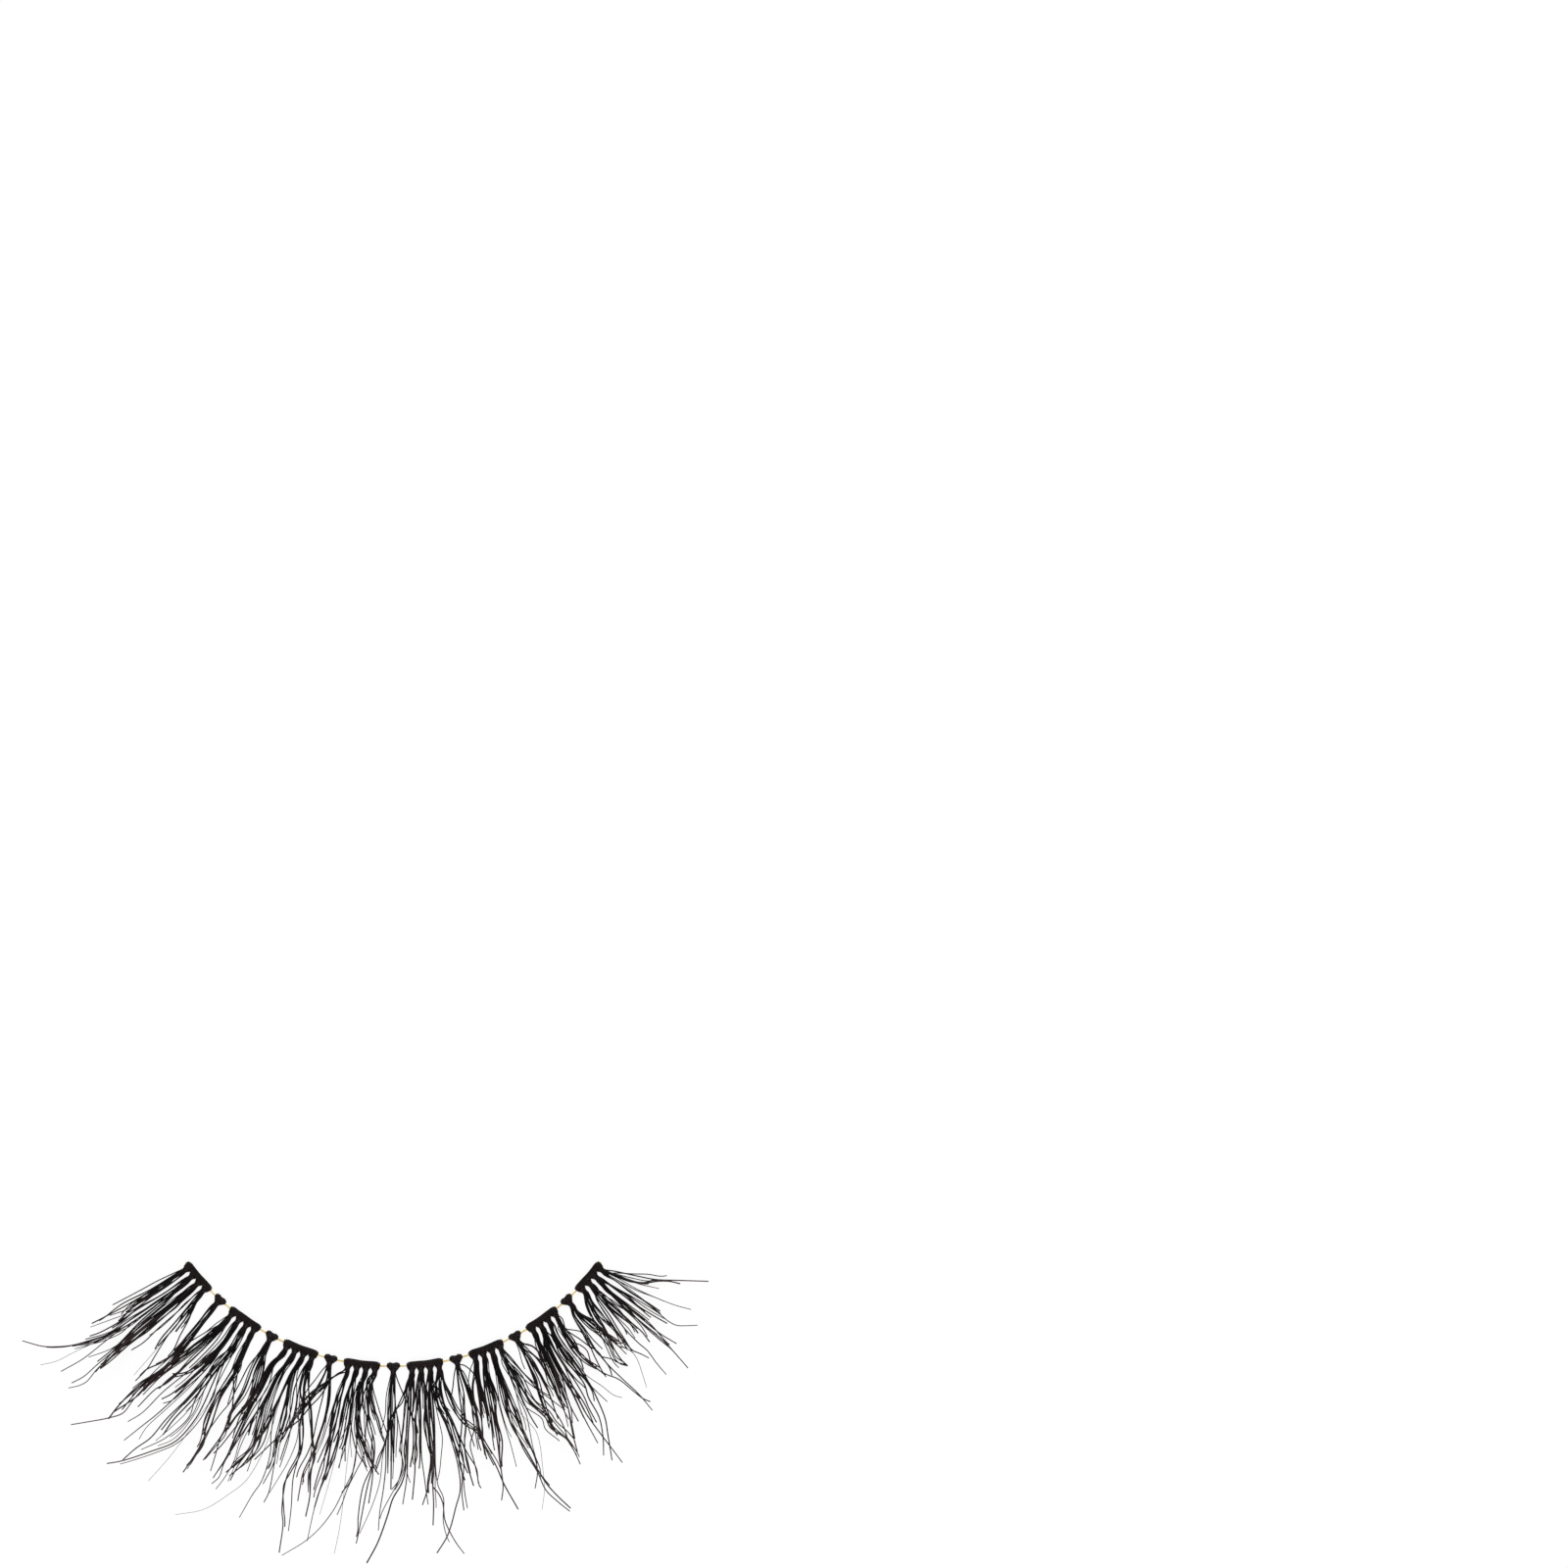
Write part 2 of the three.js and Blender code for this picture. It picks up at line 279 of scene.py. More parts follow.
def makeDustAndGlintFlecks():
    # sparse pale specks where the noise peaks: powder and lint, and on the hair's knots painted glints
    group, start, end = newGroup(
        "dustAndGlintFlecks",
        [("Size", "NodeSocketFloat", 9000.0), ("Amount", "NodeSocketFloat", 0.3)],
        [("Mask", "NodeSocketFloat")],
    )
    place = node(group, "ShaderNodeTexCoord")
    fine = node(group, "ShaderNodeTexNoise")
    group.links.new(place.outputs["Object"], fine.inputs["Vector"])
    group.links.new(start.outputs["Size"], fine.inputs["Scale"])
    fine.inputs["Detail"].default_value = 2.0
    peaks = ramp(group, fine.outputs["Fac"], 0.60, 0.74)
    broad = noise(group, place.outputs["Object"], 1500.0, 1.0)
    patches = ramp(group, broad.outputs["Fac"], 0.42, 0.62)
    speckled = mathNode(group, "MULTIPLY", peaks, patches)
    mask = mathNode(group, "MULTIPLY", speckled, start.outputs["Amount"], clamp=True)
    group.links.new(mask, end.inputs["Mask"])
    return group


def makeUnevenDye():
    # slow changes of shade along and between the fibres
    group, start, end = newGroup(
        "unevenDye",
        [
            ("Light", "NodeSocketColor", (1, 1, 1, 1)),
            ("Dark", "NodeSocketColor", (0, 0, 0, 1)),
            ("Size", "NodeSocketFloat", 900.0),
        ],
        [("Colour", "NodeSocketColor"), ("Shade", "NodeSocketFloat")],
    )
    place = node(group, "ShaderNodeTexCoord")
    slow = node(group, "ShaderNodeTexNoise")
    group.links.new(place.outputs["Object"], slow.inputs["Vector"])
    group.links.new(start.outputs["Size"], slow.inputs["Scale"])
    slow.inputs["Detail"].default_value = 3.0
    share = ramp(group, slow.outputs["Fac"], 0.32, 0.68)
    colour = mixColour(group, share, start.outputs["Dark"], start.outputs["Light"])
    group.links.new(colour, end.inputs["Colour"])
    group.links.new(share, end.inputs["Shade"])
    return group


fibreStreaks = makeFibreStreaks()
dustAndGlintFlecks = makeDustAndGlintFlecks()
unevenDye = makeUnevenDye()


def placeGroup(tree, group, **values):
    made = node(tree, "ShaderNodeGroup", node_tree=group)
    for key, value in values.items():
        made.inputs[key.replace("_", " ")].default_value = value
    return made


def newMaterial(name):
    material = bpy.data.materials.new(name)
    material.use_nodes = True
    tree = material.node_tree
    return material, tree, tree.nodes["Principled BSDF"]


def bump(tree, height, strength, distance, shader):
    made = node(tree, "ShaderNodeBump")
    made.inputs["Strength"].default_value = strength
    made.inputs["Distance"].default_value = distance
    tree.links.new(height, made.inputs["Height"])
    tree.links.new(made.outputs["Normal"], shader.inputs["Normal"])


# hair: dyed near black, browner and a little lighter towards the tips; the knots carry a painted brown
# highlight
hairFinish = {
    "black": (0.0030, 0.0022, 0.0024, 1),
    "blackLight": (0.0075, 0.0050, 0.0054, 1),
    "tipBrown": (0.1250, 0.0700, 0.0720, 1),
    # the knots' lighter brown band is a painted highlight, brown-tinted
    "knotBrown": (0.0340, 0.0180, 0.0190, 1),
    # pale specks: dust on the free hair, painted glints besides dust on the knots
    "dust": (0.16, 0.12, 0.11, 1),
    "roughness": 0.40,
    "streakRough": 0.12,    # how much rougher where a streak is
    "dustRough": 0.3,
    "specular": 0.12,
    "ior": 1.55,
    "brownStart": 0.25,     # share of the length where the tips' brown sets in
    # strength of the knots' painted highlight
    "knotBrownShare": 0.85,
    "dustOnHair": 0.1,
    "dustAndGlintsOnKnots": 0.8,
    "bump": 0.5,
    "bumpHeight": 0.004,
}


def makeHairMaterial():
    material, tree, shader = newMaterial("lashHair")
    dye = placeGroup(tree, unevenDye, Light=hairFinish["blackLight"], Dark=hairFinish["black"], Size=700.0)
    streaks = placeGroup(tree, fibreStreaks, Streak_Length=0.35, Streak_Count=2.6, Scales=16.0)
    dust = placeGroup(tree, dustAndGlintFlecks, Size=8000.0, Amount=0.55)
    along = attributeNode(tree, "along").outputs["Fac"]
    tone = attributeNode(tree, "tone").outputs["Fac"]
    knotted = attributeNode(tree, "knotted").outputs["Fac"]
    towardsTip = ramp(tree, along, hairFinish["brownStart"], 1.0)
    brown = mathNode(tree, "MULTIPLY", towardsTip, tone, clamp=True)
    streaked = ramp(tree, streaks.outputs["Streak"], 0.35, 0.75)
    colour = mixColour(tree, brown, dye.outputs["Colour"], hairFinish["tipBrown"])
    # painted highlight on the knots: lighter brown where their streaks stand raised
    knotHighlight = mathNode(tree, "MULTIPLY", knotted, streaked)
    knotHighlight = mathNode(tree, "MULTIPLY", knotHighlight, hairFinish["knotBrownShare"])
    colour = mixColour(tree, knotHighlight, colour, hairFinish["knotBrown"])
    # on the knots the pale specks are painted glints of their lit band besides dust, on the free hair dust
    dustAndGlintShare = mathNode(tree, "MULTIPLY", knotted, hairFinish["dustAndGlintsOnKnots"])
    dustAndGlintShare = mathNode(tree, "ADD", dustAndGlintShare, hairFinish["dustOnHair"])
    dustAndGlintSpecks = mathNode(tree, "MULTIPLY", dust.outputs["Mask"], dustAndGlintShare)
    colour = mixColour(tree, dustAndGlintSpecks, colour, hairFinish["dust"])
    tree.links.new(colour, shader.inputs["Base Color"])
    streakRough = hairFinish["streakRough"]
    rough = mathNode(tree, "MULTIPLY", streaked, streakRough)
    rough = mathNode(tree, "ADD", rough, hairFinish["roughness"] - streakRough / 2)
    dustRough = mathNode(tree, "MULTIPLY", dustAndGlintSpecks, hairFinish["dustRough"])
    tree.links.new(mathNode(tree, "ADD", rough, dustRough, clamp=True), shader.inputs["Roughness"])
    shader.inputs["Specular IOR Level"].default_value = hairFinish["specular"]
    shader.inputs["IOR"].default_value = hairFinish["ior"]
    bump(tree, streaks.outputs["Height"], hairFinish["bump"], hairFinish["bumpHeight"] * mm, shader)
    return material


lashHair = makeHairMaterial()

knotSizes = {
    "knotsInBar": 4,
    "pitch": 0.62,          # from one knot of a bar to the next
    "hairWidth": 0.084,     # each wrap
    "barColumns": (0.039, 0.116, 0.194, 0.271),
    "singleColumns": (0.075, 0.175, 0.290, 0.405),
    "singleWrap": (0.145, 0.190, 0.185, 0.125),   # how far each wrap stands inward of the thread
    "barWrap": 0.188,
    "inwardMore": 0.060,    # the wraps are wider than high, pressed flat by the lacquer
    "earWrap": (0.188, 0.188, 0.176, 0.118),      # smaller towards the pointed ends of a bar
    "earFlare": (0.00, 0.00, 0.01, 0.03),         # the end knots' outer wraps lean outward
    "singleNarrowing": (0.80, 0.56, 0.40),        # of the columns over, beside and below the bight
    "barNarrowing": (0.97, 0.80, 0.60),
    "earNarrowing": (0.94, 0.74, 0.58),
    "drawnAt": 0.235,       # height of the thread in the knot's drawn heights
    "lowest": 0.002,        # no hair goes nearer to the surface than this
    "rootOut": 0.46,
    "rootUp": 0.195,
    "rootColumns": (0.021, 0.062, 0.103, 0.143),
    "wobble": 0.006,
}

hairSizes = {
    "swell": 1.12,          # of the widths in the table
    "followWidth": (0.084, 0.110),
    "followKeep": (0.75, 1.0),
    "leaderWidth": 0.090,   # hairs thinner than this stay alone
    "aside": 0.185,
    "drift": 0.080,
    "bellyReach": 2.0,
    "curlRadius": 14.0,
    "curlVaries": 1.3,
    "bellySpread": 0.24,
    "step": 0.22,
    "sides": 6,
    "tipCut": (0.70, 1.0),                   # how much of its width a hair keeps at its cut tip
    "rootFan": 4.4,         # degrees between neighbouring ends where they leave the knot
    "singleFan": 2.4,
    "tucked": 6,            # further hairs of a root whose other end is cut off inside the knot
    "tuckedWidth": (0.066, 0.092),
    "tuckedKeep": (0.55, 1.0),
}

# hairs read off the photo, a row each:
# its root from left to right, its width in mm, how brown it is, and the places that it passes to its tip
tracedHair = {
    "bar_tuft_1": (
        (0, 0.070, 0.3, ((-16.2, 5.9), (-17.4, 5.25), (-19.3, 4.25))),
        (0, 0.085, 0.2, ((-16.7, 5.2), (-18.4, 4.2), (-20.0, 3.35), (-20.7, 3.0))),
        (0, 0.055, 0.8, ((-17.0, 4.75), (-18.5, 3.6), (-19.4, 3.25), (-20.8, 2.75))),
        (0, 0.100, 0.1, ((-16.2, 5.35), (-17.7, 4.25), (-18.9, 3.15))),
        (0, 0.095, 0.1, ((-16.2, 5.1), (-17.5, 4.35), (-18.4, 3.75))),
        (1, 0.095, 0.2, ((-16.0, 4.9), (-17.6, 3.95), (-18.9, 3.05), (-20.2, 2.35), (-20.85, 2.13))),
        (1, 0.092, 1.0, ((-16.6, 4.2), (-18.4, 3.0), (-19.2, 2.4), (-20.8, 1.85), (-22.0, 1.53),
            (-23.0, 1.45), (-24.0, 1.5), (-25.35, 1.9))),
        (1, 0.095, 0.1, ((-16.5, 4.35), (-17.9, 3.35), (-19.6, 2.25), (-21.2, 1.65))),
        (1, 0.065, 0.4, ((-17.0, 3.7), (-18.9, 2.45), (-20.0, 1.6), (-21.2, 0.65), (-22.7, -0.2))),
        (1, 0.030, 0.6, ((-17.3, 3.4), (-20.5, 1.7), (-22.0, 1.0), (-23.0, 0.5), (-24.1, 0.25))),
        (1, 0.095, 0.1, ((-15.6, 4.6), (-17.4, 3.1), (-18.8, 1.65), (-19.6, 0.95), (-20.3, 0.4))),
        (2, 0.100, 0.1, ((-15.4, 4.3), (-17.4, 2.75), (-18.9, 1.45), (-20.0, 0.2), (-20.4, -0.3))),
        (2, 0.100, 0.1, ((-15.4, 4.1), (-17.3, 2.5), (-18.9, 1.1), (-20.1, -0.05))),
        (2, 0.085, 0.3, ((-15.6, 3.8), (-17.6, 2.05), (-18.7, 1.05), (-19.5, 0.35), (-20.1, -0.1))),
        (2, 0.075, 0.9, ((-15.7, 3.7), (-17.6, 1.95), (-20.2, 0.0), (-21.0, -0.95), (-21.5, -1.2),
            (-22.2, -1.35))),
        (2, 0.070, 0.7, ((-15.8, 3.9), (-18.6, 1.6), (-20.3, 0.2), (-21.2, -0.6), (-22.0, -1.02))),
        (2, 0.055, 0.4, ((-16.0, 4.0), (-18.2, 2.1), (-19.4, 1.25), (-20.9, 0.7))),
        (2, 0.095, 0.1, ((-15.1, 4.0), (-16.3, 2.95), (-17.0, 2.35), (-18.6, 1.35))),
        (3, 0.050, 0.5, ((-14.4, 4.3), (-15.2, 3.4), (-16.1, 2.6), (-16.8, 2.15))),
        (3, 0.080, 0.3, ((-14.6, 4.0), (-16.2, 2.6), (-17.2, 1.65), (-18.0, 1.15))),
        (3, 0.095, 0.1, ((-14.4, 3.8), (-15.1, 2.95), (-16.0, 1.9), (-16.4, 1.2))),
        (3, 0.080, 0.4, ((-14.2, 3.7), (-15.4, 2.3), (-16.3, 0.9), (-16.9, -0.1), (-17.7, -0.95))),
        (3, 0.030, 0.3, ((-14.6, 3.3), (-16.3, 1.2), (-17.8, -0.55))),
        (3, 0.080, 0.2, ((-13.7, 4.2), (-14.1, 3.2), (-14.7, 2.1), (-15.1, 1.2), (-15.5, 0.7))),
        (3, 0.100, 0.0, ((-13.6, 4.4), (-14.3, 3.3), (-15.0, 2.4))),
    ),
    "single_tuft_1": (
        (0, 0.090, 0.1, ((-13.3, 3.2), (-14.3, 2.0), (-15.2, 0.85), (-15.8, 0.35), (-17.0, -0.2),
            (-17.4, -0.6))),
        (0, 0.095, 0.2, ((-13.2, 3.0), (-14.4, 1.6), (-15.6, 0.0), (-17.3, -1.1), (-18.8, -2.6),
            (-19.45, -3.45))),
        (0, 0.100, 0.1, ((-13.1, 3.0), (-14.2, 1.5), (-15.5, 0.0), (-16.6, -1.0), (-17.5, -1.95))),
        (0, 0.095, 0.1, ((-13.0, 3.1), (-13.9, 2.0), (-15.0, 0.6), (-16.0, -0.5), (-17.3, -1.7))),
        (0, 0.080, 0.2, ((-12.9, 3.2), (-13.6, 2.3), (-14.1, 1.6))),
        (0, 0.070, 0.2, ((-13.2, 3.3), (-14.0, 2.3), (-15.1, 1.1))),
    ),
    "bar_tuft_2": (
        (0, 0.060, 0.3, ((-12.2, 2.95), (-13.0, 2.3), (-14.0, 1.7), (-15.4, 0.6))),
        (0, 0.080, 0.9, ((-12.6, 2.4), (-14.4, 0.8), (-16.2, -0.5), (-17.8, -2.2), (-18.5, -3.1),
            (-19.5, -3.42), (-20.7, -3.62), (-21.95, -3.8))),
        (0, 0.095, 0.1, ((-12.5, 2.2), (-14.2, 0.85), (-16.1, -0.4), (-17.6, -2.0), (-19.1, -3.0))),
        (0, 0.090, 0.2, ((-12.4, 2.5), (-13.8, 1.4), (-15.6, 0.1), (-17.0, -1.0), (-18.3, -2.1),
            (-18.8, -2.5))),
        (0, 0.080, 0.3, ((-12.3, 2.0), (-14.0, 0.3), (-15.6, -1.15), (-16.3, -1.5), (-17.5, -2.7))),
        (0, 0.095, 0.1, ((-12.2, 2.1), (-13.4, 0.9), (-14.6, -0.2), (-15.5, -0.9), (-16.1, -1.5))),
        (1, 0.070, 0.6, ((-11.9, 1.8), (-13.6, 0.1), (-15.8, -1.7), (-17.2, -3.1), (-18.15, -3.68))),
        (1, 0.095, 0.1, ((-11.8, 1.6), (-13.2, 0.1), (-14.2, -0.5), (-15.2, -0.75))),
        (1, 0.090, 0.2, ((-11.7, 1.6), (-13.1, 0.0), (-14.4, -1.2), (-15.3, -1.9), (-15.9, -2.2))),
        (1, 0.078, 0.6, ((-11.8, 1.4), (-13.6, -0.6), (-15.2, -2.3), (-16.3, -3.3), (-17.2, -4.0),
            (-18.4, -4.95))),
        (1, 0.100, 0.1, ((-11.6, 1.5), (-12.8, 0.1), (-14.0, -1.0), (-15.0, -1.8))),
        (1, 0.050, 0.3, ((-11.9, 1.1), (-13.7, -1.1), (-15.6, -2.9), (-16.9, -4.1), (-17.4, -4.9))),
        (2, 0.090, 0.1, ((-11.2, 1.2), (-12.6, -0.5), (-13.9, -2.0), (-15.1, -3.3), (-15.9, -4.3))),
        (2, 0.085, 0.3, ((-11.3, 1.3), (-12.7, -0.4), (-14.1, -2.1), (-15.6, -3.6), (-16.6, -4.8),
            (-17.6, -5.5), (-18.4, -6.2))),
        (2, 0.088, 1.0, ((-11.1, 1.1), (-11.9, 0.0), (-12.4, -1.1), (-13.0, -2.5), (-13.6, -3.6),
            (-14.9, -5.05), (-16.5, -5.68), (-18.5, -6.28), (-19.45, -6.42))),
        (2, 0.100, 0.1, ((-11.2, 1.1), (-12.4, -0.2), (-13.4, -1.5), (-14.4, -2.6))),
        (2, 0.050, 0.4, ((-11.4, 0.9), (-13.2, -1.6), (-14.0, -2.9), (-15.2, -4.1), (-16.25, -5.0))),
        (2, 0.050, 0.8, ((-11.3, 0.8), (-12.9, -1.4), (-13.4, -2.8), (-14.5, -4.4), (-15.2, -5.0),
            (-16.1, -5.35))),
        (2, 0.075, 0.1, ((-11.0, 0.9), (-11.6, 0.3), (-12.1, -1.0), (-12.4, -2.1), (-12.7, -2.6))),
        (3, 0.060, 0.2, ((-10.7, 0.9), (-11.3, -0.6), (-12.0, -1.7), (-12.6, -3.2))),
        (3, 0.085, 0.5, ((-10.5, 0.7), (-11.0, -0.5), (-12.1, -2.2), (-12.8, -4.0), (-13.1, -5.2),
            (-14.35, -7.15))),
        (3, 0.085, 0.1, ((-10.4, 0.8), (-10.95, -0.2), (-11.0, -2.0), (-11.15, -3.3), (-11.4, -4.3))),
        (3, 0.070, 0.4, ((-10.5, 0.6), (-11.1, -2.2), (-12.0, -3.4), (-12.9, -4.7), (-13.3, -5.4))),
        (3, 0.080, 0.2, ((-10.3, 0.8), (-10.8, -0.2), (-11.3, -0.9), (-12.2, -2.4), (-12.9, -4.3))),
        (3, 0.026, 0.3, ((-10.6, 0.5), (-13.4, -3.5), (-15.2, -6.0), (-16.7, -7.7))),
        (3, 0.070, 0.2, ((-10.2, 0.9), (-10.6, -0.1), (-11.1, -1.6), (-11.4, -2.6))),
    ),
    "single_tuft_2": (
        (0, 0.080, 0.1, ((-9.3, 0.85), (-9.95, 0.05), (-10.5, -1.0), (-11.0, -1.95))),
        (0, 0.085, 0.4, ((-9.15, 0.8), (-9.65, -0.1), (-10.3, -1.8), (-11.1, -3.1), (-11.7, -4.6),
            (-12.2, -5.3), (-13.0, -6.35))),
        (0, 0.090, 0.1, ((-9.0, 0.7), (-9.35, -0.6), (-9.9, -2.4), (-10.7, -3.3), (-11.35, -4.3))),
        (0, 0.090, 0.1, ((-8.95, 0.6), (-9.2, -0.6), (-9.55, -1.8), (-9.65, -2.6))),
        (0, 0.070, 0.2, ((-8.8, 0.7), (-8.85, 0.2), (-9.1, -1.1), (-9.3, -1.7))),
    ),
    "bar_tuft_3": (
        (0, 0.090, 0.2, ((-8.2, 0.2), (-9.0, -1.4), (-10.0, -3.0), (-10.9, -4.9), (-11.4, -6.1),
            (-12.3, -7.55))),
        (0, 0.080, 0.5, ((-8.4, 0.1), (-9.7, -2.0), (-11.1, -3.75), (-11.9, -5.0), (-12.15, -5.9),
            (-12.5, -7.1))),
        (0, 0.100, 0.0, ((-8.1, 0.2), (-9.1, -1.7), (-10.2, -3.5), (-10.9, -5.0), (-11.2, -6.0))),
        (0, 0.085, 0.2, ((-8.3, 0.3), (-9.4, -1.6), (-10.3, -2.9), (-11.2, -3.9), (-11.6, -4.5))),
        (0, 0.080, 0.3, ((-8.2, 0.1), (-9.8, -2.7), (-10.8, -4.1), (-11.9, -5.5), (-12.3, -5.9))),
        (1, 0.080, 0.4, ((-7.7, -0.2), (-8.8, -2.2), (-10.0, -4.0), (-10.9, -5.4), (-11.6, -6.6),
            (-11.9, -7.5), (-12.4, -7.95))),
        (1, 0.055, 0.7, ((-7.8, -0.3), (-9.2, -2.8), (-10.5, -5.0), (-10.9, -6.4), (-11.5, -7.5),
            (-12.1, -8.3))),
        (1, 0.090, 0.1, ((-7.8, -0.4), (-8.8, -2.5), (-9.2, -4.0), (-9.7, -5.5), (-10.5, -6.4),
            (-11.45, -7.2))),
        (1, 0.095, 0.0, ((-7.7, -0.3), (-8.6, -2.0), (-9.5, -3.3), (-9.95, -4.7))),
        (1, 0.055, 0.3, ((-8.0, -0.6), (-9.3, -3.2), (-10.2, -4.8), (-10.6, -5.8), (-10.9, -6.9),
            (-11.3, -7.8))),
        (2, 0.080, 0.4, ((-7.0, -0.4), (-8.0, -2.4), (-8.8, -3.9), (-9.8, -5.6), (-10.6, -6.7),
            (-11.15, -7.75))),
        (2, 0.095, 0.0, ((-7.1, -0.5), (-7.9, -2.3), (-8.6, -3.9), (-9.5, -5.2), (-10.4, -6.35),
            (-11.0, -6.9))),
        (2, 0.070, 0.6, ((-7.0, -0.6), (-8.1, -3.0), (-8.4, -4.6), (-8.45, -6.0), (-9.0, -7.8),
            (-9.6, -8.7), (-10.45, -10.2))),
        (2, 0.085, 0.2, ((-6.9, -0.5), (-7.3, -2.4), (-7.5, -3.9), (-7.95, -5.3), (-8.2, -6.6),
            (-8.9, -8.0))),
        (2, 0.055, 0.4, ((-7.2, -0.7), (-8.6, -3.8), (-9.6, -5.6), (-9.75, -6.4), (-10.0, -7.15))),
        (2, 0.030, 0.7, ((-7.3, -1.0), (-8.6, -5.0), (-9.1, -6.2), (-10.1, -7.8), (-11.2, -8.65),
            (-12.9, -9.65), (-14.8, -9.97))),
        (2, 0.070, 0.4, ((-6.8, -0.5), (-7.3, -2.8), (-8.0, -5.6), (-8.2, -7.0), (-8.5, -8.6),
            (-8.8, -9.2))),
        (3, 0.082, 1.0, ((-6.0, -0.6), (-6.2, -2.6), (-6.45, -4.4), (-6.5, -5.9), (-7.2, -7.3),
            (-7.42, -8.2), (-7.55, -9.8), (-7.45, -10.6), (-7.65, -12.5))),
        (3, 0.075, 0.7, ((-6.0, -0.6), (-6.25, -2.3), (-6.2, -4.9), (-6.5, -6.2), (-6.85, -7.6),
            (-6.95, -9.6), (-7.1, -11.15))),
        (3, 0.085, 0.3, ((-5.85, -0.6), (-5.85, -1.6), (-5.65, -3.0), (-5.55, -4.8), (-5.45, -6.0),
            (-5.65, -7.4), (-5.7, -8.9), (-5.95, -10.2))),
        (3, 0.095, 0.0, ((-6.0, -0.4), (-6.2, -1.6), (-6.1, -2.6), (-6.4, -3.7), (-6.4, -5.2),
            (-6.35, -6.0))),
        (3, 0.085, 0.1, ((-6.3, -0.3), (-6.8, -1.5), (-7.05, -3.0), (-7.4, -4.2), (-7.8, -5.2))),
        (3, 0.050, 0.4, ((-6.2, -0.4), (-6.5, -2.6), (-6.6, -4.9), (-7.2, -6.5), (-7.9, -7.7),
            (-8.45, -8.6))),
        (3, 0.080, 0.2, ((-6.2, -0.3), (-6.55, -1.8), (-6.8, -3.6), (-7.3, -5.0), (-7.75, -6.4))),
    ),
    "single_tuft_3": (
        (0, 0.070, 0.3, ((-4.85, -0.2), (-5.4, -0.95), (-5.95, -1.65), (-6.5, -2.7))),
        (0, 0.090, 0.1, ((-4.75, -0.5), (-5.3, -1.5), (-5.8, -2.3), (-6.1, -2.9))),
        (0, 0.092, 0.9, ((-4.4, -0.8), (-4.5, -2.2), (-4.75, -3.6), (-5.2, -5.0), (-5.6, -6.1),
            (-6.15, -7.2), (-6.35, -8.2), (-6.5, -9.15))),
        (0, 0.085, 0.2, ((-4.4, -0.9), (-5.0, -2.0), (-5.7, -2.75), (-6.5, -3.7), (-7.4, -4.4),
            (-8.3, -5.2), (-9.5, -6.35))),
        (0, 0.085, 0.2, ((-4.45, -1.0), (-5.3, -1.9), (-6.2, -3.0), (-7.0, -3.9), (-7.6, -5.0))),
        (0, 0.060, 0.3, ((-4.45, -1.0), (-4.6, -3.4), (-4.9, -4.9), (-5.4, -5.9))),
    ),
    "bar_tuft_4": (
        (0, 0.085, 0.1, ((-3.7, -0.5), (-4.3, -0.88), (-4.8, -1.5), (-5.6, -2.15), (-6.3, -3.1))),
        (0, 0.095, 0.1, ((-3.4, -1.0), (-3.75, -1.9), (-4.0, -3.2), (-4.35, -4.6), (-4.9, -5.9),
            (-5.2, -6.6))),
        (0, 0.060, 0.3, ((-3.5, -1.1), (-4.1, -2.6), (-4.5, -3.9), (-4.9, -5.2), (-5.4, -6.2))),
        (0, 0.085, 0.2, ((-3.35, -1.2), (-3.75, -2.8), (-3.95, -4.0), (-4.3, -5.5), (-4.5, -6.8),
            (-5.0, -8.4), (-5.35, -9.6))),
        (0, 0.060, 0.6, ((-3.4, -1.3), (-3.85, -3.3), (-4.4, -5.8), (-4.7, -7.4), (-5.3, -9.4),
            (-5.8, -11.8))),
        (1, 0.095, 0.0, ((-2.95, -1.2), (-3.35, -2.6), (-3.6, -3.9), (-4.1, -5.2))),
        (1, 0.085, 0.3, ((-2.9, -1.2), (-3.3, -3.0), (-3.7, -4.9), (-4.05, -6.3), (-4.6, -7.5),
            (-5.1, -8.7), (-5.3, -9.4))),
        (1, 0.075, 0.2, ((-2.75, -1.2), (-2.9, -2.9), (-3.15, -4.2), (-3.3, -5.3), (-3.3, -6.5))),
        (1, 0.095, 0.0, ((-2.75, -1.1), (-2.85, -2.6), (-3.0, -3.9), (-3.25, -5.1), (-3.55, -5.7))),
        (1, 0.050, 0.4, ((-2.8, -1.3), (-3.1, -3.8), (-3.55, -6.1), (-3.72, -7.0))),
        (1, 0.026, 0.3, ((-3.0, -1.5), (-3.7, -5.0), (-4.3, -7.6), (-5.0, -10.1))),
        (2, 0.085, 0.2, ((-2.3, -1.3), (-2.45, -2.8), (-2.4, -4.3), (-2.0, -5.6), (-1.6, -6.45),
            (-1.2, -7.1), (-0.98, -7.4))),
        (2, 0.060, 0.8, ((-2.2, -1.2), (-2.45, -3.2), (-2.5, -5.2), (-2.7, -7.0), (-3.4, -8.5),
            (-4.0, -9.7), (-4.9, -10.9), (-5.9, -11.8), (-7.5, -12.75))),
        (2, 0.075, 0.2, ((-2.1, -1.1), (-2.2, -2.6), (-2.5, -4.0), (-2.55, -5.8), (-2.7, -6.9),
            (-2.95, -7.9), (-3.5, -8.6))),
        (2, 0.065, 0.5, ((-2.05, -1.2), (-2.0, -3.5), (-2.0, -6.0), (-2.5, -7.1), (-3.1, -8.3),
            (-3.45, -9.3), (-3.8, -10.1))),
        (2, 0.045, 0.3, ((-2.4, -1.2), (-2.85, -3.8), (-2.95, -5.1), (-2.85, -6.25))),
        (2, 0.026, 0.3, ((-2.5, -1.3), (-3.1, -6.0), (-3.45, -9.8), (-3.6, -11.0), (-3.9, -12.6))),
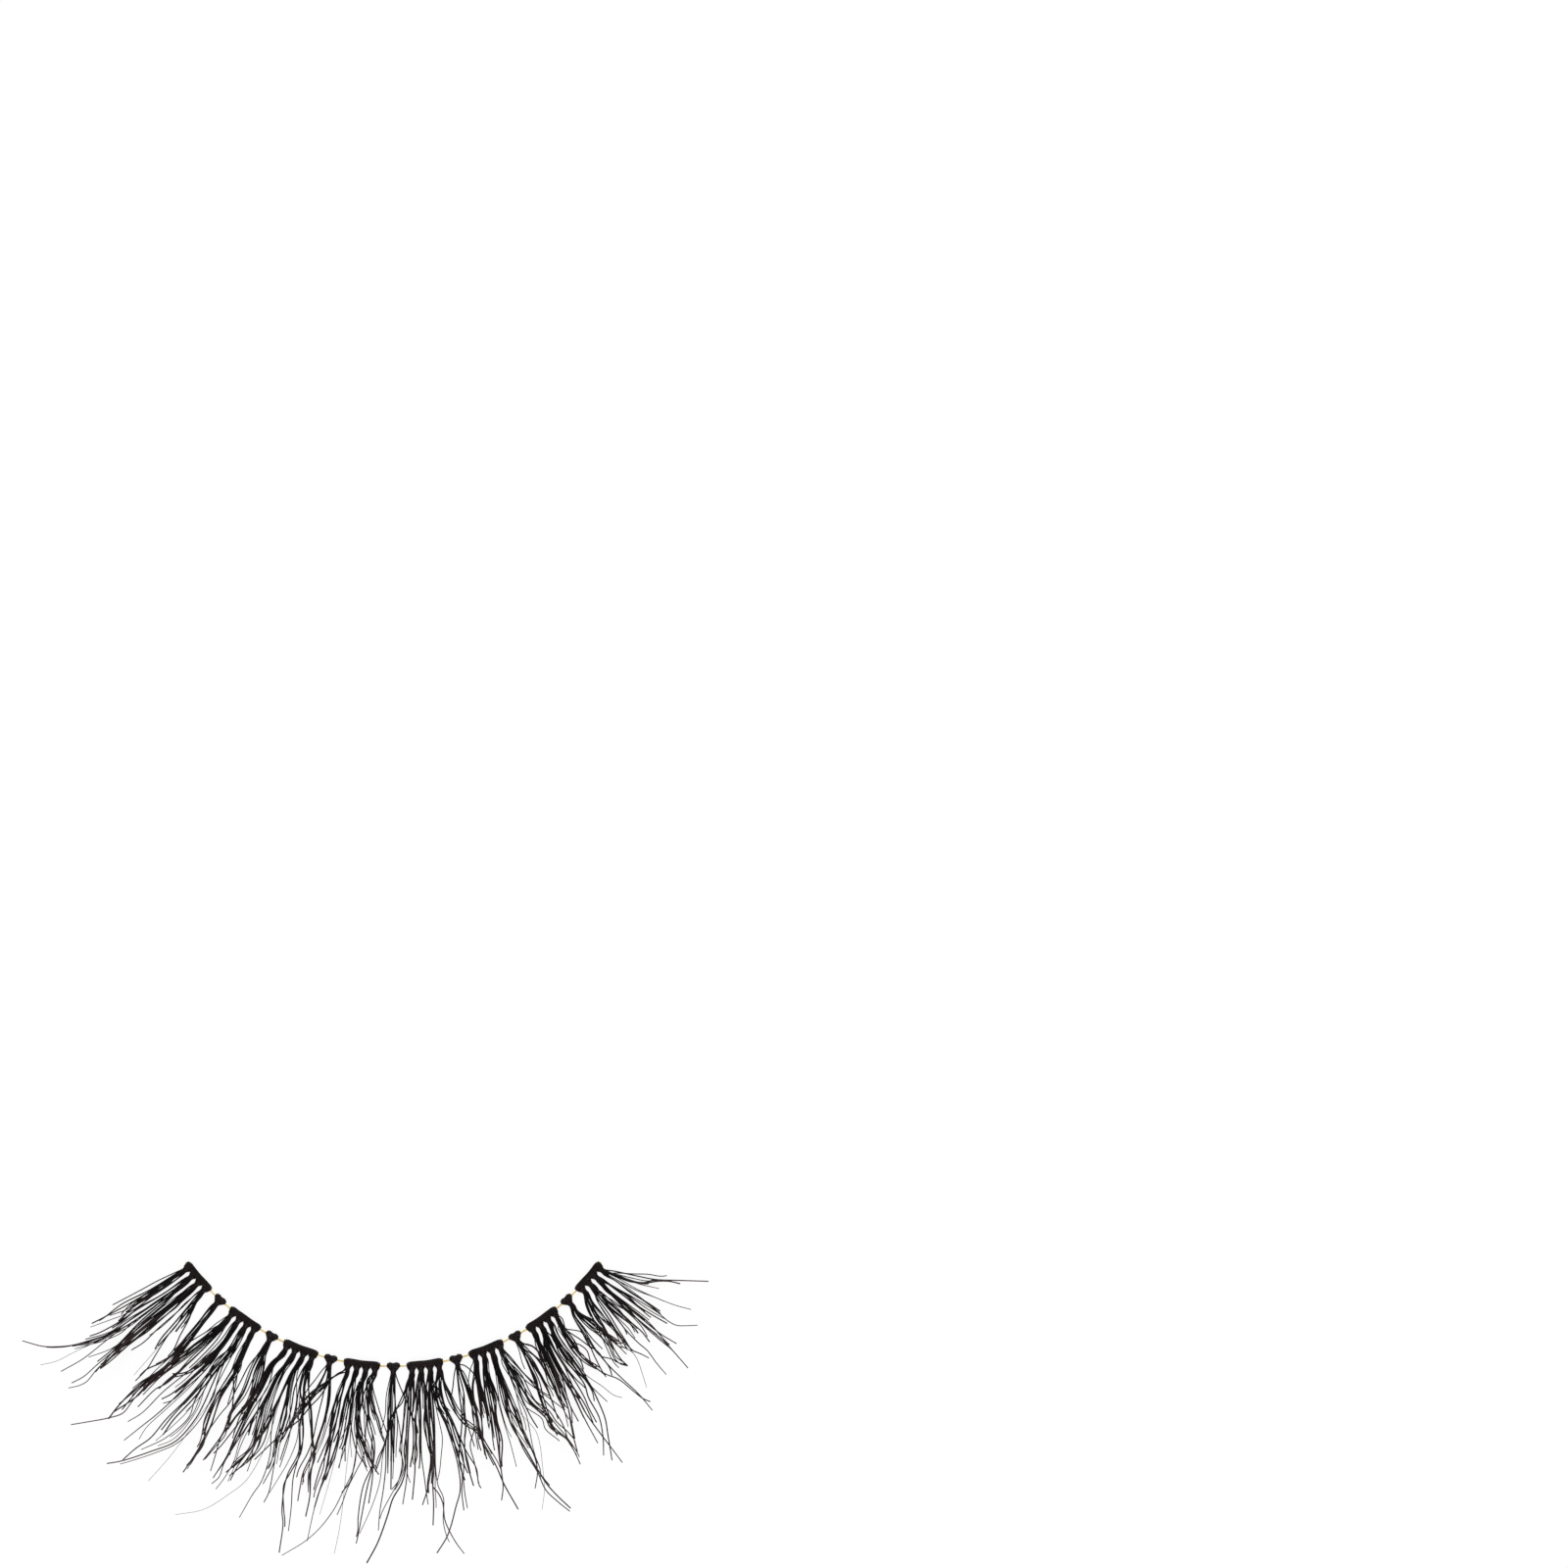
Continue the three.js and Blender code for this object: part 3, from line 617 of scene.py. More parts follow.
        (3, 0.085, 0.5, ((-1.6, -1.0), (-1.7, -2.8), (-1.6, -4.0), (-1.3, -5.2), (-1.35, -6.6),
            (-1.75, -8.2), (-2.1, -10.1), (-2.3, -11.3), (-2.45, -12.0))),
        (3, 0.060, 0.3, ((-1.7, -1.0), (-1.95, -2.6), (-1.85, -3.7), (-1.9, -4.6), (-1.9, -5.5))),
        (3, 0.085, 0.1, ((-1.6, -1.4), (-1.6, -2.6), (-1.2, -3.6), (-0.9, -4.6), (-0.6, -5.2))),
        (3, 0.050, 0.4, ((-1.45, -1.2), (-1.4, -2.1), (-1.22, -3.1))),
        (3, 0.080, 0.2, ((-1.55, -1.2), (-1.75, -3.5), (-1.45, -4.6), (-1.5, -5.9), (-1.4, -7.4),
            (-1.65, -9.35))),
        (3, 0.075, 0.2, ((-1.8, -0.9), (-1.85, -2.1), (-1.75, -3.4))),
    ),
    "single_tuft_4": (
        (0, 0.100, 0.0, ((-0.1, -1.2), (-0.17, -2.6), (-0.17, -4.0), (-0.13, -6.0), (-0.13, -8.4))),
        (0, 0.060, 0.2, ((-0.3, -1.1), (-0.5, -2.1), (-0.55, -3.2), (-0.75, -4.1), (-0.9, -4.6))),
        (0, 0.055, 0.3, ((-0.22, -1.1), (-0.38, -2.5), (-0.42, -4.2))),
        (0, 0.075, 0.7, ((-0.15, -1.2), (-0.25, -3.9), (-0.5, -5.2), (-0.5, -6.8), (-0.65, -8.4),
            (-0.87, -9.9), (-0.95, -11.15))),
        (0, 0.050, 0.5, ((-0.2, -1.2), (-0.4, -4.3), (-0.72, -6.2), (-0.9, -7.9), (-1.4, -9.5),
            (-2.2, -11.3))),
        (0, 0.060, 0.3, ((0.12, -1.2), (0.15, -2.7), (0.4, -4.1), (0.6, -5.5))),
        (0, 0.080, 0.1, ((0.3, -1.0), (0.65, -1.85), (0.95, -2.5), (1.2, -3.3), (1.55, -3.9),
            (1.65, -4.6))),
    ),
    "bar_tuft_5": (
        (0, 0.085, 0.1, ((1.0, -1.1), (0.6, -2.1), (0.2, -3.0), (-0.15, -4.0), (-0.55, -5.2),
            (-0.85, -6.2), (-1.2, -7.2))),
        (0, 0.092, 0.1, ((1.1, -1.3), (1.0, -3.0), (0.9, -4.6), (0.75, -5.8), (0.85, -7.0), (0.6, -8.0),
            (0.0, -9.05), (-0.35, -10.2), (-1.0, -12.0), (-1.7, -13.3))),
        (0, 0.055, 0.3, ((1.0, -1.4), (0.8, -2.6), (0.62, -4.3), (0.4, -5.9))),
        (0, 0.080, 0.3, ((1.25, -1.2), (1.2, -2.8), (1.05, -4.4), (1.0, -6.0), (0.95, -7.6), (0.7, -9.4))),
        (0, 0.060, 0.5, ((1.2, -1.2), (1.1, -3.4), (0.95, -5.5), (1.0, -7.4), (1.2, -7.95))),
        (0, 0.095, 0.0, ((1.35, -1.1), (1.38, -2.0), (1.33, -2.8))),
        (0, 0.085, 0.1, ((1.3, -1.0), (1.15, -2.6), (1.25, -3.4), (1.6, -4.1), (1.7, -4.6))),
        (1, 0.085, 0.3, ((1.75, -1.1), (1.7, -2.4), (1.55, -3.5), (1.6, -4.9), (1.5, -6.2), (1.5, -7.2),
            (1.35, -9.1))),
        (1, 0.095, 0.0, ((1.75, -1.2), (1.8, -2.6), (1.85, -4.0), (1.8, -5.2), (1.85, -6.2), (1.8, -7.0))),
        (1, 0.085, 0.2, ((2.1, -1.1), (2.15, -2.4), (2.2, -4.1), (2.4, -5.5), (2.65, -6.4), (2.5, -7.8),
            (2.3, -8.7), (2.05, -9.45))),
        (1, 0.075, 0.4, ((1.85, -1.3), (1.9, -3.5), (1.95, -6.1), (2.15, -7.5), (2.3, -8.5), (2.45, -9.4))),
        (1, 0.095, 0.0, ((1.9, -1.0), (1.8, -2.3), (1.85, -3.3))),
        (1, 0.085, 0.1, ((2.1, -0.9), (2.25, -1.7), (2.15, -2.9), (2.4, -4.4), (2.65, -5.9))),
        (2, 0.090, 0.1, ((2.45, -1.2), (2.4, -2.6), (2.55, -4.4), (2.75, -5.8), (2.7, -7.2), (2.65, -8.0))),
        (2, 0.085, 0.4, ((2.5, -1.2), (2.6, -2.8), (2.75, -4.6), (2.85, -6.4), (2.75, -8.0),
            (2.82, -9.4), (2.8, -10.8))),
        (2, 0.085, 0.6, ((2.6, -1.2), (2.75, -3.2), (2.85, -5.5), (2.8, -7.4), (2.75, -8.2),
            (3.1, -8.6), (3.45, -9.3), (3.6, -10.4), (3.9, -11.1), (4.45, -12.0), (4.98, -12.65))),
        (2, 0.055, 0.3, ((2.75, -1.4), (2.95, -2.9), (3.2, -4.0), (3.38, -4.9), (3.3, -6.2),
            (3.2, -7.2), (3.05, -7.85))),
        (2, 0.095, 0.0, ((2.6, -1.0), (2.8, -1.8), (3.0, -2.5), (3.5, -3.3))),
        (2, 0.065, 0.6, ((2.65, -1.2), (2.85, -4.0), (2.9, -6.5), (3.1, -8.1), (3.5, -9.0),
            (3.5, -10.5), (3.75, -11.5), (3.95, -11.9))),
        (3, 0.095, 0.1, ((2.95, -1.3), (3.3, -2.6), (3.9, -3.7), (4.25, -4.8), (4.65, -5.9),
            (4.95, -6.9), (5.15, -7.3))),
        (3, 0.085, 0.7, ((2.9, -1.4), (3.1, -2.9), (3.6, -4.0), (4.1, -5.4), (4.5, -6.9), (4.65, -8.4),
            (4.35, -9.6), (4.05, -10.8), (3.75, -11.6), (3.12, -12.6))),
        (3, 0.085, 0.2, ((3.2, -1.1), (3.4, -2.3), (4.1, -3.8), (4.6, -5.0), (5.2, -6.1), (5.75, -7.0),
            (5.9, -8.0), (6.08, -8.3))),
        (3, 0.085, 0.2, ((3.45, -1.2), (3.8, -2.4), (4.4, -3.4), (4.95, -4.0), (5.7, -4.5), (6.3, -5.4),
            (7.1, -6.8), (7.65, -8.0), (8.65, -9.68))),
        (3, 0.075, 0.1, ((3.5, -1.0), (4.0, -2.0), (4.4, -2.8), (4.95, -3.6), (5.3, -4.6), (5.6, -5.5))),
        (3, 0.075, 0.3, ((3.3, -1.5), (3.7, -3.2), (4.3, -4.4), (4.85, -6.4), (4.85, -7.6),
            (4.95, -8.6), (5.15, -9.65))),
        (3, 0.075, 0.3, ((3.2, -1.4), (3.6, -3.2), (4.2, -5.2), (4.75, -7.3), (4.75, -8.6), (4.9, -9.8))),
    ),
    "single_tuft_5": (
        (0, 0.075, 0.1, ((4.2, -0.5), (4.1, -1.4), (4.0, -2.1), (4.05, -2.65))),
        (0, 0.060, 0.3, ((4.45, -0.7), (4.6, -1.7), (4.85, -2.6))),
        (0, 0.085, 0.2, ((4.5, -0.5), (4.85, -1.9), (4.9, -3.0), (5.0, -4.2), (4.9, -5.3), (5.05, -6.5),
            (5.55, -8.15))),
        (0, 0.095, 0.0, ((4.7, -0.5), (5.15, -1.6), (5.65, -2.9), (5.9, -4.0), (5.95, -5.0))),
        (0, 0.085, 0.1, ((4.75, -0.6), (5.3, -2.1), (5.75, -3.4), (6.05, -4.9), (6.45, -6.35))),
        (0, 0.080, 0.1, ((4.8, 0.1), (5.3, -0.25), (5.65, -0.7), (5.95, -1.5), (6.25, -1.95))),
        (0, 0.070, 0.3, ((4.7, -0.7), (5.4, -2.6), (5.6, -4.2), (5.85, -5.7))),
    ),
    "bar_tuft_6": (
        (0, 0.060, 0.3, ((5.35, -0.05), (5.2, -0.7), (5.15, -1.4))),
        (0, 0.090, 0.1, ((5.75, -0.5), (5.85, -1.8), (6.0, -3.1), (6.15, -4.4), (6.2, -5.3),
            (6.45, -6.35))),
        (0, 0.085, 0.1, ((5.8, -0.5), (6.1, -2.0), (6.4, -3.2), (6.58, -4.2))),
        (0, 0.070, 0.2, ((5.65, -0.5), (5.5, -1.4), (5.6, -2.6), (5.7, -3.6), (5.75, -4.4))),
        (1, 0.100, 0.1, ((6.2, -0.5), (6.5, -2.0), (6.75, -3.5), (6.95, -4.9))),
        (1, 0.092, 0.8, ((6.35, -0.4), (6.8, -2.0), (7.1, -3.4), (7.3, -5.0), (7.35, -6.3), (7.5, -7.4),
            (7.6, -8.2), (7.5, -9.1))),
        (1, 0.095, 0.2, ((6.3, -0.4), (6.65, -2.0), (6.95, -3.8), (7.2, -5.3), (7.35, -6.6))),
        (1, 0.095, 0.0, ((6.45, -0.3), (6.85, -1.5), (7.1, -2.4))),
        (1, 0.055, 0.4, ((6.6, -0.4), (7.15, -2.2), (7.6, -3.8), (8.05, -5.2), (8.5, -6.85))),
        (2, 0.092, 0.1, ((7.1, -0.3), (7.5, -1.8), (7.9, -3.4), (8.2, -4.2), (9.0, -5.45), (9.9, -6.95),
            (10.6, -8.0), (11.3, -8.75), (12.25, -9.6))),
        (2, 0.085, 0.2, ((7.2, -0.2), (7.85, -1.8), (8.4, -3.2), (8.85, -4.4), (9.5, -5.55),
            (9.9, -6.7), (9.95, -7.3), (9.8, -8.3))),
        (2, 0.095, 0.0, ((7.1, -0.1), (7.6, -1.5), (8.0, -2.9), (8.45, -3.6), (8.8, -4.4))),
        (2, 0.055, 0.3, ((7.0, -0.3), (7.3, -2.4), (7.8, -4.2), (8.15, -4.85))),
        (2, 0.030, 0.4, ((7.3, -0.2), (8.6, -3.0), (9.8, -4.4), (10.1, -5.3), (10.3, -6.8),
            (10.45, -8.3), (10.3, -9.7))),
        (2, 0.070, 0.3, ((7.3, -0.1), (8.2, -2.2), (8.8, -3.7), (9.1, -5.0), (9.5, -5.6))),
        (3, 0.090, 0.1, ((7.7, 0.4), (8.5, -0.8), (9.1, -1.9), (9.6, -2.55), (10.6, -3.4), (11.0, -4.1),
            (12.0, -5.0), (12.6, -6.0), (12.9, -6.65))),
        (3, 0.080, 0.2, ((8.0, 0.55), (8.7, -0.2), (9.6, -1.2), (10.4, -2.3), (11.1, -3.05),
            (11.7, -4.0), (12.1, -5.1), (12.65, -6.0))),
        (3, 0.090, 0.1, ((7.8, 0.2), (8.4, -1.0), (8.9, -2.3), (9.5, -3.5), (9.95, -4.2))),
        (3, 0.060, 0.4, ((7.7, 0.1), (8.5, -1.9), (9.15, -3.3), (9.4, -4.4), (9.6, -5.4), (9.95, -6.6))),
        (3, 0.080, 0.2, ((8.1, 0.6), (9.0, -0.5), (9.7, -1.15), (10.2, -1.7), (10.8, -2.05))),
        (3, 0.070, 0.2, ((7.9, 0.4), (8.7, -0.6), (9.5, -1.3), (10.9, -2.3), (11.7, -2.9))),
        (3, 0.060, 0.3, ((7.7, 0.3), (8.3, -1.3), (8.7, -2.8), (9.1, -4.0), (9.15, -4.4))),
    ),
    "single_tuft_6": (
        (0, 0.060, 0.2, ((8.65, 1.1), (8.85, 0.3), (9.05, -0.2))),
        (0, 0.090, 0.1, ((8.85, 1.1), (9.35, 0.1), (9.8, -1.0), (10.15, -2.1), (10.65, -3.45),
            (11.3, -4.7))),
        (0, 0.090, 0.1, ((8.95, 1.1), (9.6, 0.1), (10.3, -1.0), (10.8, -2.1), (11.1, -2.9), (11.35, -3.6))),
        (0, 0.080, 0.1, ((9.0, 1.2), (9.7, 0.7), (10.4, -0.3), (10.7, -1.2), (11.0, -1.6))),
        (0, 0.085, 0.0, ((9.1, 1.5), (9.6, 1.35), (10.1, 0.8), (10.6, 0.1))),
        (0, 0.070, 0.2, ((9.1, 1.3), (9.9, 0.6), (10.9, -0.2))),
    ),
    "bar_tuft_7": (
        (0, 0.090, 0.1, ((9.9, 1.6), (10.4, 0.2), (11.0, -1.2), (11.5, -2.3), (11.8, -3.0))),
        (0, 0.090, 0.2, ((10.0, 1.5), (10.7, 0.1), (11.4, -1.5), (12.0, -2.7), (12.25, -4.0),
            (12.45, -4.9), (12.7, -5.8))),
        (0, 0.060, 0.3, ((9.95, 1.4), (10.6, -0.4), (11.3, -2.1), (11.8, -3.1), (12.05, -4.1))),
        (0, 0.100, 0.0, ((10.1, 1.5), (11.0, -0.2), (11.5, -1.3), (11.9, -2.3))),
        (1, 0.085, 0.2, ((10.5, 1.9), (11.3, 0.3), (12.1, -1.2), (12.5, -2.1), (13.1, -3.4), (14.1, -5.2))),
        (1, 0.085, 0.2, ((10.7, 1.8), (11.7, 0.1), (12.5, -1.0), (13.2, -2.2), (13.45, -2.8),
            (14.0, -3.8))),
        (1, 0.085, 0.2, ((10.5, 1.7), (11.4, -0.1), (12.0, -1.35), (12.7, -2.2), (13.2, -3.1),
            (14.3, -4.6), (15.1, -5.6), (15.8, -6.5))),
        (1, 0.095, 0.0, ((10.7, 1.9), (11.6, 0.4), (12.4, -0.7), (13.25, -1.5))),
        (1, 0.085, 0.1, ((10.4, 1.7), (11.2, 0.0), (11.9, -1.1), (12.4, -1.5), (12.85, -2.2))),
        (1, 0.085, 0.1, ((10.5, 1.6), (11.5, -0.4), (12.1, -2.5), (12.75, -3.75))),
        (2, 0.090, 0.2, ((11.2, 2.1), (12.1, 0.7), (12.9, -0.3), (13.6, -1.3), (14.0, -2.1),
            (14.6, -3.5), (14.8, -4.6), (15.1, -6.3))),
        (2, 0.085, 0.2, ((11.1, 2.1), (12.0, 0.5), (13.2, -0.9), (13.7, -1.7), (13.85, -2.35))),
        (2, 0.045, 0.4, ((11.3, 2.2), (12.4, 0.5), (13.3, -0.6), (14.4, -1.35), (15.2, -1.95),
            (15.75, -2.1))),
        (2, 0.070, 0.3, ((11.4, 2.1), (12.9, 0.0), (13.6, -1.3), (14.1, -1.8), (14.75, -2.4))),
        (2, 0.095, 0.0, ((11.0, 2.2), (12.0, 0.9), (12.7, 0.0), (13.3, -1.0))),
        (2, 0.095, 0.0, ((11.1, 2.0), (12.2, 0.3), (13.0, -0.7), (13.4, -1.05))),
        (3, 0.075, 0.1, ((11.25, 3.45), (11.55, 3.4), (11.72, 3.05), (11.85, 2.6), (12.4, 2.5),
            (12.95, 2.35), (13.2, 1.9), (13.55, 1.25))),
        (3, 0.080, 0.1, ((11.35, 3.2), (11.6, 2.75), (12.1, 2.35), (12.8, 1.9), (13.4, 1.45),
            (14.1, 1.0), (14.4, 0.6), (14.9, -0.1), (15.05, -0.6))),
        (3, 0.075, 0.2, ((11.7, 2.5), (12.2, 1.75), (12.9, 1.45), (13.35, 1.05), (13.6, 0.3),
            (14.0, -0.15), (14.7, -0.55), (15.5, -0.85), (16.6, -1.7), (17.2, -2.15), (17.7, -2.35))),
        (3, 0.085, 0.1, ((11.6, 2.7), (12.3, 1.5), (12.9, 0.7), (13.5, 0.25), (14.1, -0.2), (14.6, -0.6))),
        (3, 0.060, 0.2, ((11.25, 3.35), (11.45, 3.2), (11.5, 2.9), (11.3, 2.7), (11.6, 2.2), (12.2, 1.3))),
        (3, 0.095, 0.0, ((11.5, 2.6), (12.3, 1.2), (12.9, 0.4), (13.1, -0.2))),
    ),
    "single_tuft_7": (
        (0, 0.080, 0.1, ((12.35, 3.5), (12.9, 2.5), (13.4, 1.7), (13.9, 0.6), (14.4, -0.35),
            (14.65, -0.7))),
        (0, 0.080, 0.1, ((12.5, 3.5), (13.1, 2.7), (13.7, 1.9), (14.4, 1.2))),
        (0, 0.090, 0.0, ((12.7, 3.7), (13.5, 3.05), (14.3, 2.4), (14.9, 1.9), (15.6, 1.35), (16.1, 1.3))),
        (0, 0.080, 0.4, ((12.5, 3.4), (13.2, 2.4), (13.9, 1.2), (14.8, 0.1), (15.9, -0.95),
            (16.9, -1.85), (17.85, -2.95))),
        (0, 0.080, 0.1, ((12.4, 3.4), (13.2, 2.2), (13.9, 1.1), (14.3, 0.7), (15.1, 0.5), (15.4, 0.3),
            (16.0, 0.15))),
        (0, 0.080, 0.2, ((12.6, 3.6), (13.4, 2.7), (14.2, 2.1), (14.9, 1.3))),
    ),
    "bar_tuft_8": (
        (0, 0.085, 0.1, ((13.3, 4.4), (13.8, 3.2), (14.4, 2.3), (14.8, 1.5), (15.2, 0.6), (15.6, 0.2),
            (16.15, 0.05))),
        (0, 0.090, 0.1, ((13.4, 4.4), (14.0, 3.3), (14.7, 2.3), (15.2, 1.2), (15.75, 0.4), (16.1, 0.1))),
        (0, 0.080, 0.2, ((13.5, 4.3), (14.3, 3.1), (15.0, 1.9), (15.6, 1.3), (16.05, 0.85))),
        (0, 0.065, 0.3, ((13.2, 4.4), (13.35, 3.9), (13.6, 3.4))),
        (0, 0.055, 0.3, ((13.7, 4.5), (14.4, 3.6), (14.9, 2.8), (15.4, 2.3))),
        (0, 0.090, 0.3, ((13.7, 4.4), (14.6, 3.3), (15.4, 2.4), (16.1, 1.5), (16.5, 1.1), (17.0, 0.9),
            (17.6, 0.6))),
        (0, 0.040, 0.4, ((13.7, 4.3), (15.4, 2.2), (16.4, 1.1), (16.8, 0.5), (17.1, -0.3), (17.45, -1.4))),
        (1, 0.075, 0.5, ((14.2, 4.7), (15.2, 3.5), (16.1, 2.4), (16.9, 1.6), (17.5, 1.1), (18.1, 0.3),
            (18.8, -0.5))),
        (1, 0.090, 0.2, ((14.2, 4.9), (15.3, 3.95), (16.4, 3.0), (17.1, 2.4), (17.65, 1.7))),
        (1, 0.060, 0.3, ((14.3, 4.6), (15.4, 3.4), (16.2, 2.6), (16.65, 1.95))),
        (1, 0.085, 0.1, ((14.1, 4.6), (14.9, 3.5), (15.5, 2.5), (15.9, 1.9), (16.4, 1.1))),
        (1, 0.095, 0.0, ((14.3, 5.0), (15.2, 4.1), (16.2, 3.2), (16.8, 2.6))),
        (2, 0.085, 0.3, ((14.8, 5.3), (15.9, 4.25), (17.2, 3.2), (18.4, 2.25), (19.5, 1.6))),
        (2, 0.085, 0.5, ((14.7, 5.2), (15.9, 4.0), (17.3, 2.85), (18.8, 1.6), (19.4, 0.95), (20.3, -0.05))),
        (2, 0.095, 0.1, ((14.9, 5.6), (16.2, 4.6), (17.3, 3.75))),
        (2, 0.070, 0.8, ((15.0, 5.6), (16.6, 4.7), (18.3, 3.65), (18.9, 3.15), (19.5, 2.85),
            (20.2, 2.83), (20.95, 2.87))),
        (2, 0.085, 0.3, ((15.0, 5.5), (16.3, 4.55), (17.4, 3.8), (18.85, 2.97))),
        (2, 0.100, 0.0, ((14.7, 5.4), (15.8, 4.4), (17.3, 3.15))),
        (3, 0.090, 0.3, ((15.2, 5.95), (16.3, 5.15), (17.4, 4.4), (18.4, 3.62))),
        (3, 0.060, 0.6, ((15.4, 6.1), (16.8, 5.3), (18.4, 4.6), (19.5, 4.2), (20.5, 3.95))),
        (3, 0.085, 0.4, ((15.3, 6.3), (16.4, 5.85), (17.4, 5.75), (18.3, 5.87), (19.1, 5.85),
            (19.75, 5.7))),
        (3, 0.080, 0.8, ((15.2, 6.55), (16.6, 6.25), (18.1, 5.97), (19.4, 5.93), (21.7, 5.88))),
        (3, 0.060, 0.7, ((15.6, 6.15), (16.8, 5.7), (18.3, 5.35))),
        (3, 0.060, 0.4, ((15.3, 6.0), (16.8, 5.2), (18.0, 4.75), (18.6, 4.5))),
        (3, 0.050, 0.5, ((15.3, 6.0), (16.8, 4.9), (17.8, 4.15))),
    ),
}


def halfLoop(column, wrap, flare, narrowing, crossOut, dice):
    # from the root up over the thread, round under it and back to the bight, on one side of the knot
    lift = threadHeight - knotSizes["drawnAt"]
    inward = wrap + knotSizes["inwardMore"]
    high, middle, low = narrowing
    thread = knotSizes["drawnAt"]
    corner = 0.72       # a little outside the half-right-angle points of a circle
    shape = (
        (column * low, 0.36, 0.230),
        (column * middle + flare * 0.25, 0.23, 0.280),
        (column * high + flare * 0.75, 0.10, 0.370),
        (column * (1 + high) / 2 + flare, 0.0, thread + wrap),
        (column + flare, -corner * inward, thread + corner * wrap),
        (column + flare, -inward, thread),
        (column + flare, -corner * inward, thread - corner * wrap),
        (column * (1 + high) / 2 + flare, 0.0, thread - wrap),
        (column * high + flare * 0.6, 0.12, 0.075),
        (column * middle + 0.03, crossOut + 0.02, 0.17),
        (column * middle * 0.86, crossOut + 0.01, 0.335),
    )
    wobble = knotSizes["wobble"]
    points = []
    for s, out, up in shape:
        s += dice.uniform(-wobble, wobble)
        out += dice.uniform(-wobble, wobble)
        up += lift + dice.uniform(-wobble, wobble) / 2
        points.append((s, out, up))
    return points


def bellyHeight(out, rootUp, belly, curl):
    reach = hairSizes["bellyReach"]
    start = knotSizes["rootOut"]
    if out < reach:
        share = min(1.0, max(0.0, (reach - out) / (reach - start)))
        return belly + (rootUp - belly) * share * share
    return belly + (out - reach) ** 2 / (2 * curl)


def lieOf(points, rootUp, belly, curl):
    flat = np.array(points, float)
    out = bandPlace(flat)[1]
    heights = [bellyHeight(o, rootUp, belly, curl) for o in out]
    return np.column_stack([flat[:, 0], flat[:, 1], heights])


def guidedPath(start, heading, places, keep):
    # a hair through its given places, evened out to steps of one length and cut short where asked
    begin = np.array(start, float)
    away = np.array(places[0], float) - begin
    distance = float(np.linalg.norm(away))
    lead = np.array([math.cos(math.radians(heading)), math.sin(math.radians(heading))])
    lead = (lead + away / distance) / 2
    leadLength = min(0.35, distance * 0.3)
    points = [begin, begin + lead / np.linalg.norm(lead) * leadLength]
    points += [np.array(p, float) for p in places]
    line, _ = smoothLine([(p[0], p[1], 0.0) for p in points], [14] * (len(points) - 1))
    steps = np.concatenate([[0.0], np.cumsum(np.linalg.norm(np.diff(line, axis=0), axis=1))])
    length = steps[-1] * keep
    count = max(5, int(round(length / hairSizes["step"])))
    even = np.linspace(0.0, length, count + 1)
    return list(zip(np.interp(even, steps, line[:, 0]), np.interp(even, steps, line[:, 1])))


def headingOf(start, places):
    # where a hair points two or three millimetres out, so that neighbours leave the knot in order
    far = places[min(1, len(places) - 1)]
    return math.degrees(math.atan2(far[1] - start[1], far[0] - start[0])) % 360


def follower(traced, k, width, keep, dice):
    # a hair that clings to one of the traced hairs
    leaders = [end for end in traced if end["width"] > hairSizes["leaderWidth"]]
    leader = leaders[k % len(leaders)]
    aside, drift = hairSizes["aside"], hairSizes["drift"]
    x0, y0 = dice.gauss(0, aside), dice.gauss(0, aside)
    places = []
    for step, (x, y) in enumerate(leader["places"]):
        loose = min(1.0, 0.50 + 0.50 * step)    # close beside its leader near the knot, freer further out
        dx, dy = dice.gauss(0, drift), dice.gauss(0, drift)
        places.append((x + (x0 + dx) * loose, y + (y0 + dy) * loose))
    return {
        "places": tuple(places),
        "width": dice.uniform(*width),
        "brown": dice.random() * 0.5,
        "keep": dice.uniform(*keep),
    }


def rootEnds(tuft, rootIndex, rootAlong, ends, dice):
    # every free end of one root, from left to right; what the table leaves over clings to a traced hair
    outward = 270 + math.degrees(rootAlong / bandRadius)
    start = bandPoint(rootAlong, knotSizes["rootOut"], 0)[:2]
    rows = [row for row in tracedHair[tuft] if row[0] == rootIndex][:ends]
    made = []
    for _, width, brown, places in rows:
        made.append({"places": places, "width": width * hairSizes["swell"], "brown": brown, "keep": 1.0})
    for k in range(ends - len(made)):
        made.append(follower(made[:len(rows)], k, hairSizes["followWidth"], hairSizes["followKeep"], dice))
    for end in made:
        end["order"] = headingOf(start, end["places"])
    made.sort(key=lambda end: end["order"])
    traced = [end for end in made if end["keep"] == 1.0]
    tucked = []
    for k in range(hairSizes["tucked"]):
        tucked.append(follower(traced, 2 * k + 1, hairSizes["tuckedWidth"], hairSizes["tuckedKeep"], dice))
    return made, tucked, outward


def freeLine(end, start, lead, rootUp, dice):
    path = guidedPath(start, lead, end["places"], end["keep"])
    belly = end["width"] / 2 + dice.random() ** 1.5 * hairSizes["bellySpread"]
    curl = hairSizes["curlRadius"] + dice.gauss(0, hairSizes["curlVaries"])
    return lieOf(path, rootUp, belly, curl)


def tipShare(share):
    # a hair narrows over its outer half
    return np.maximum(0.0, 2 * share - 1) ** 1.8


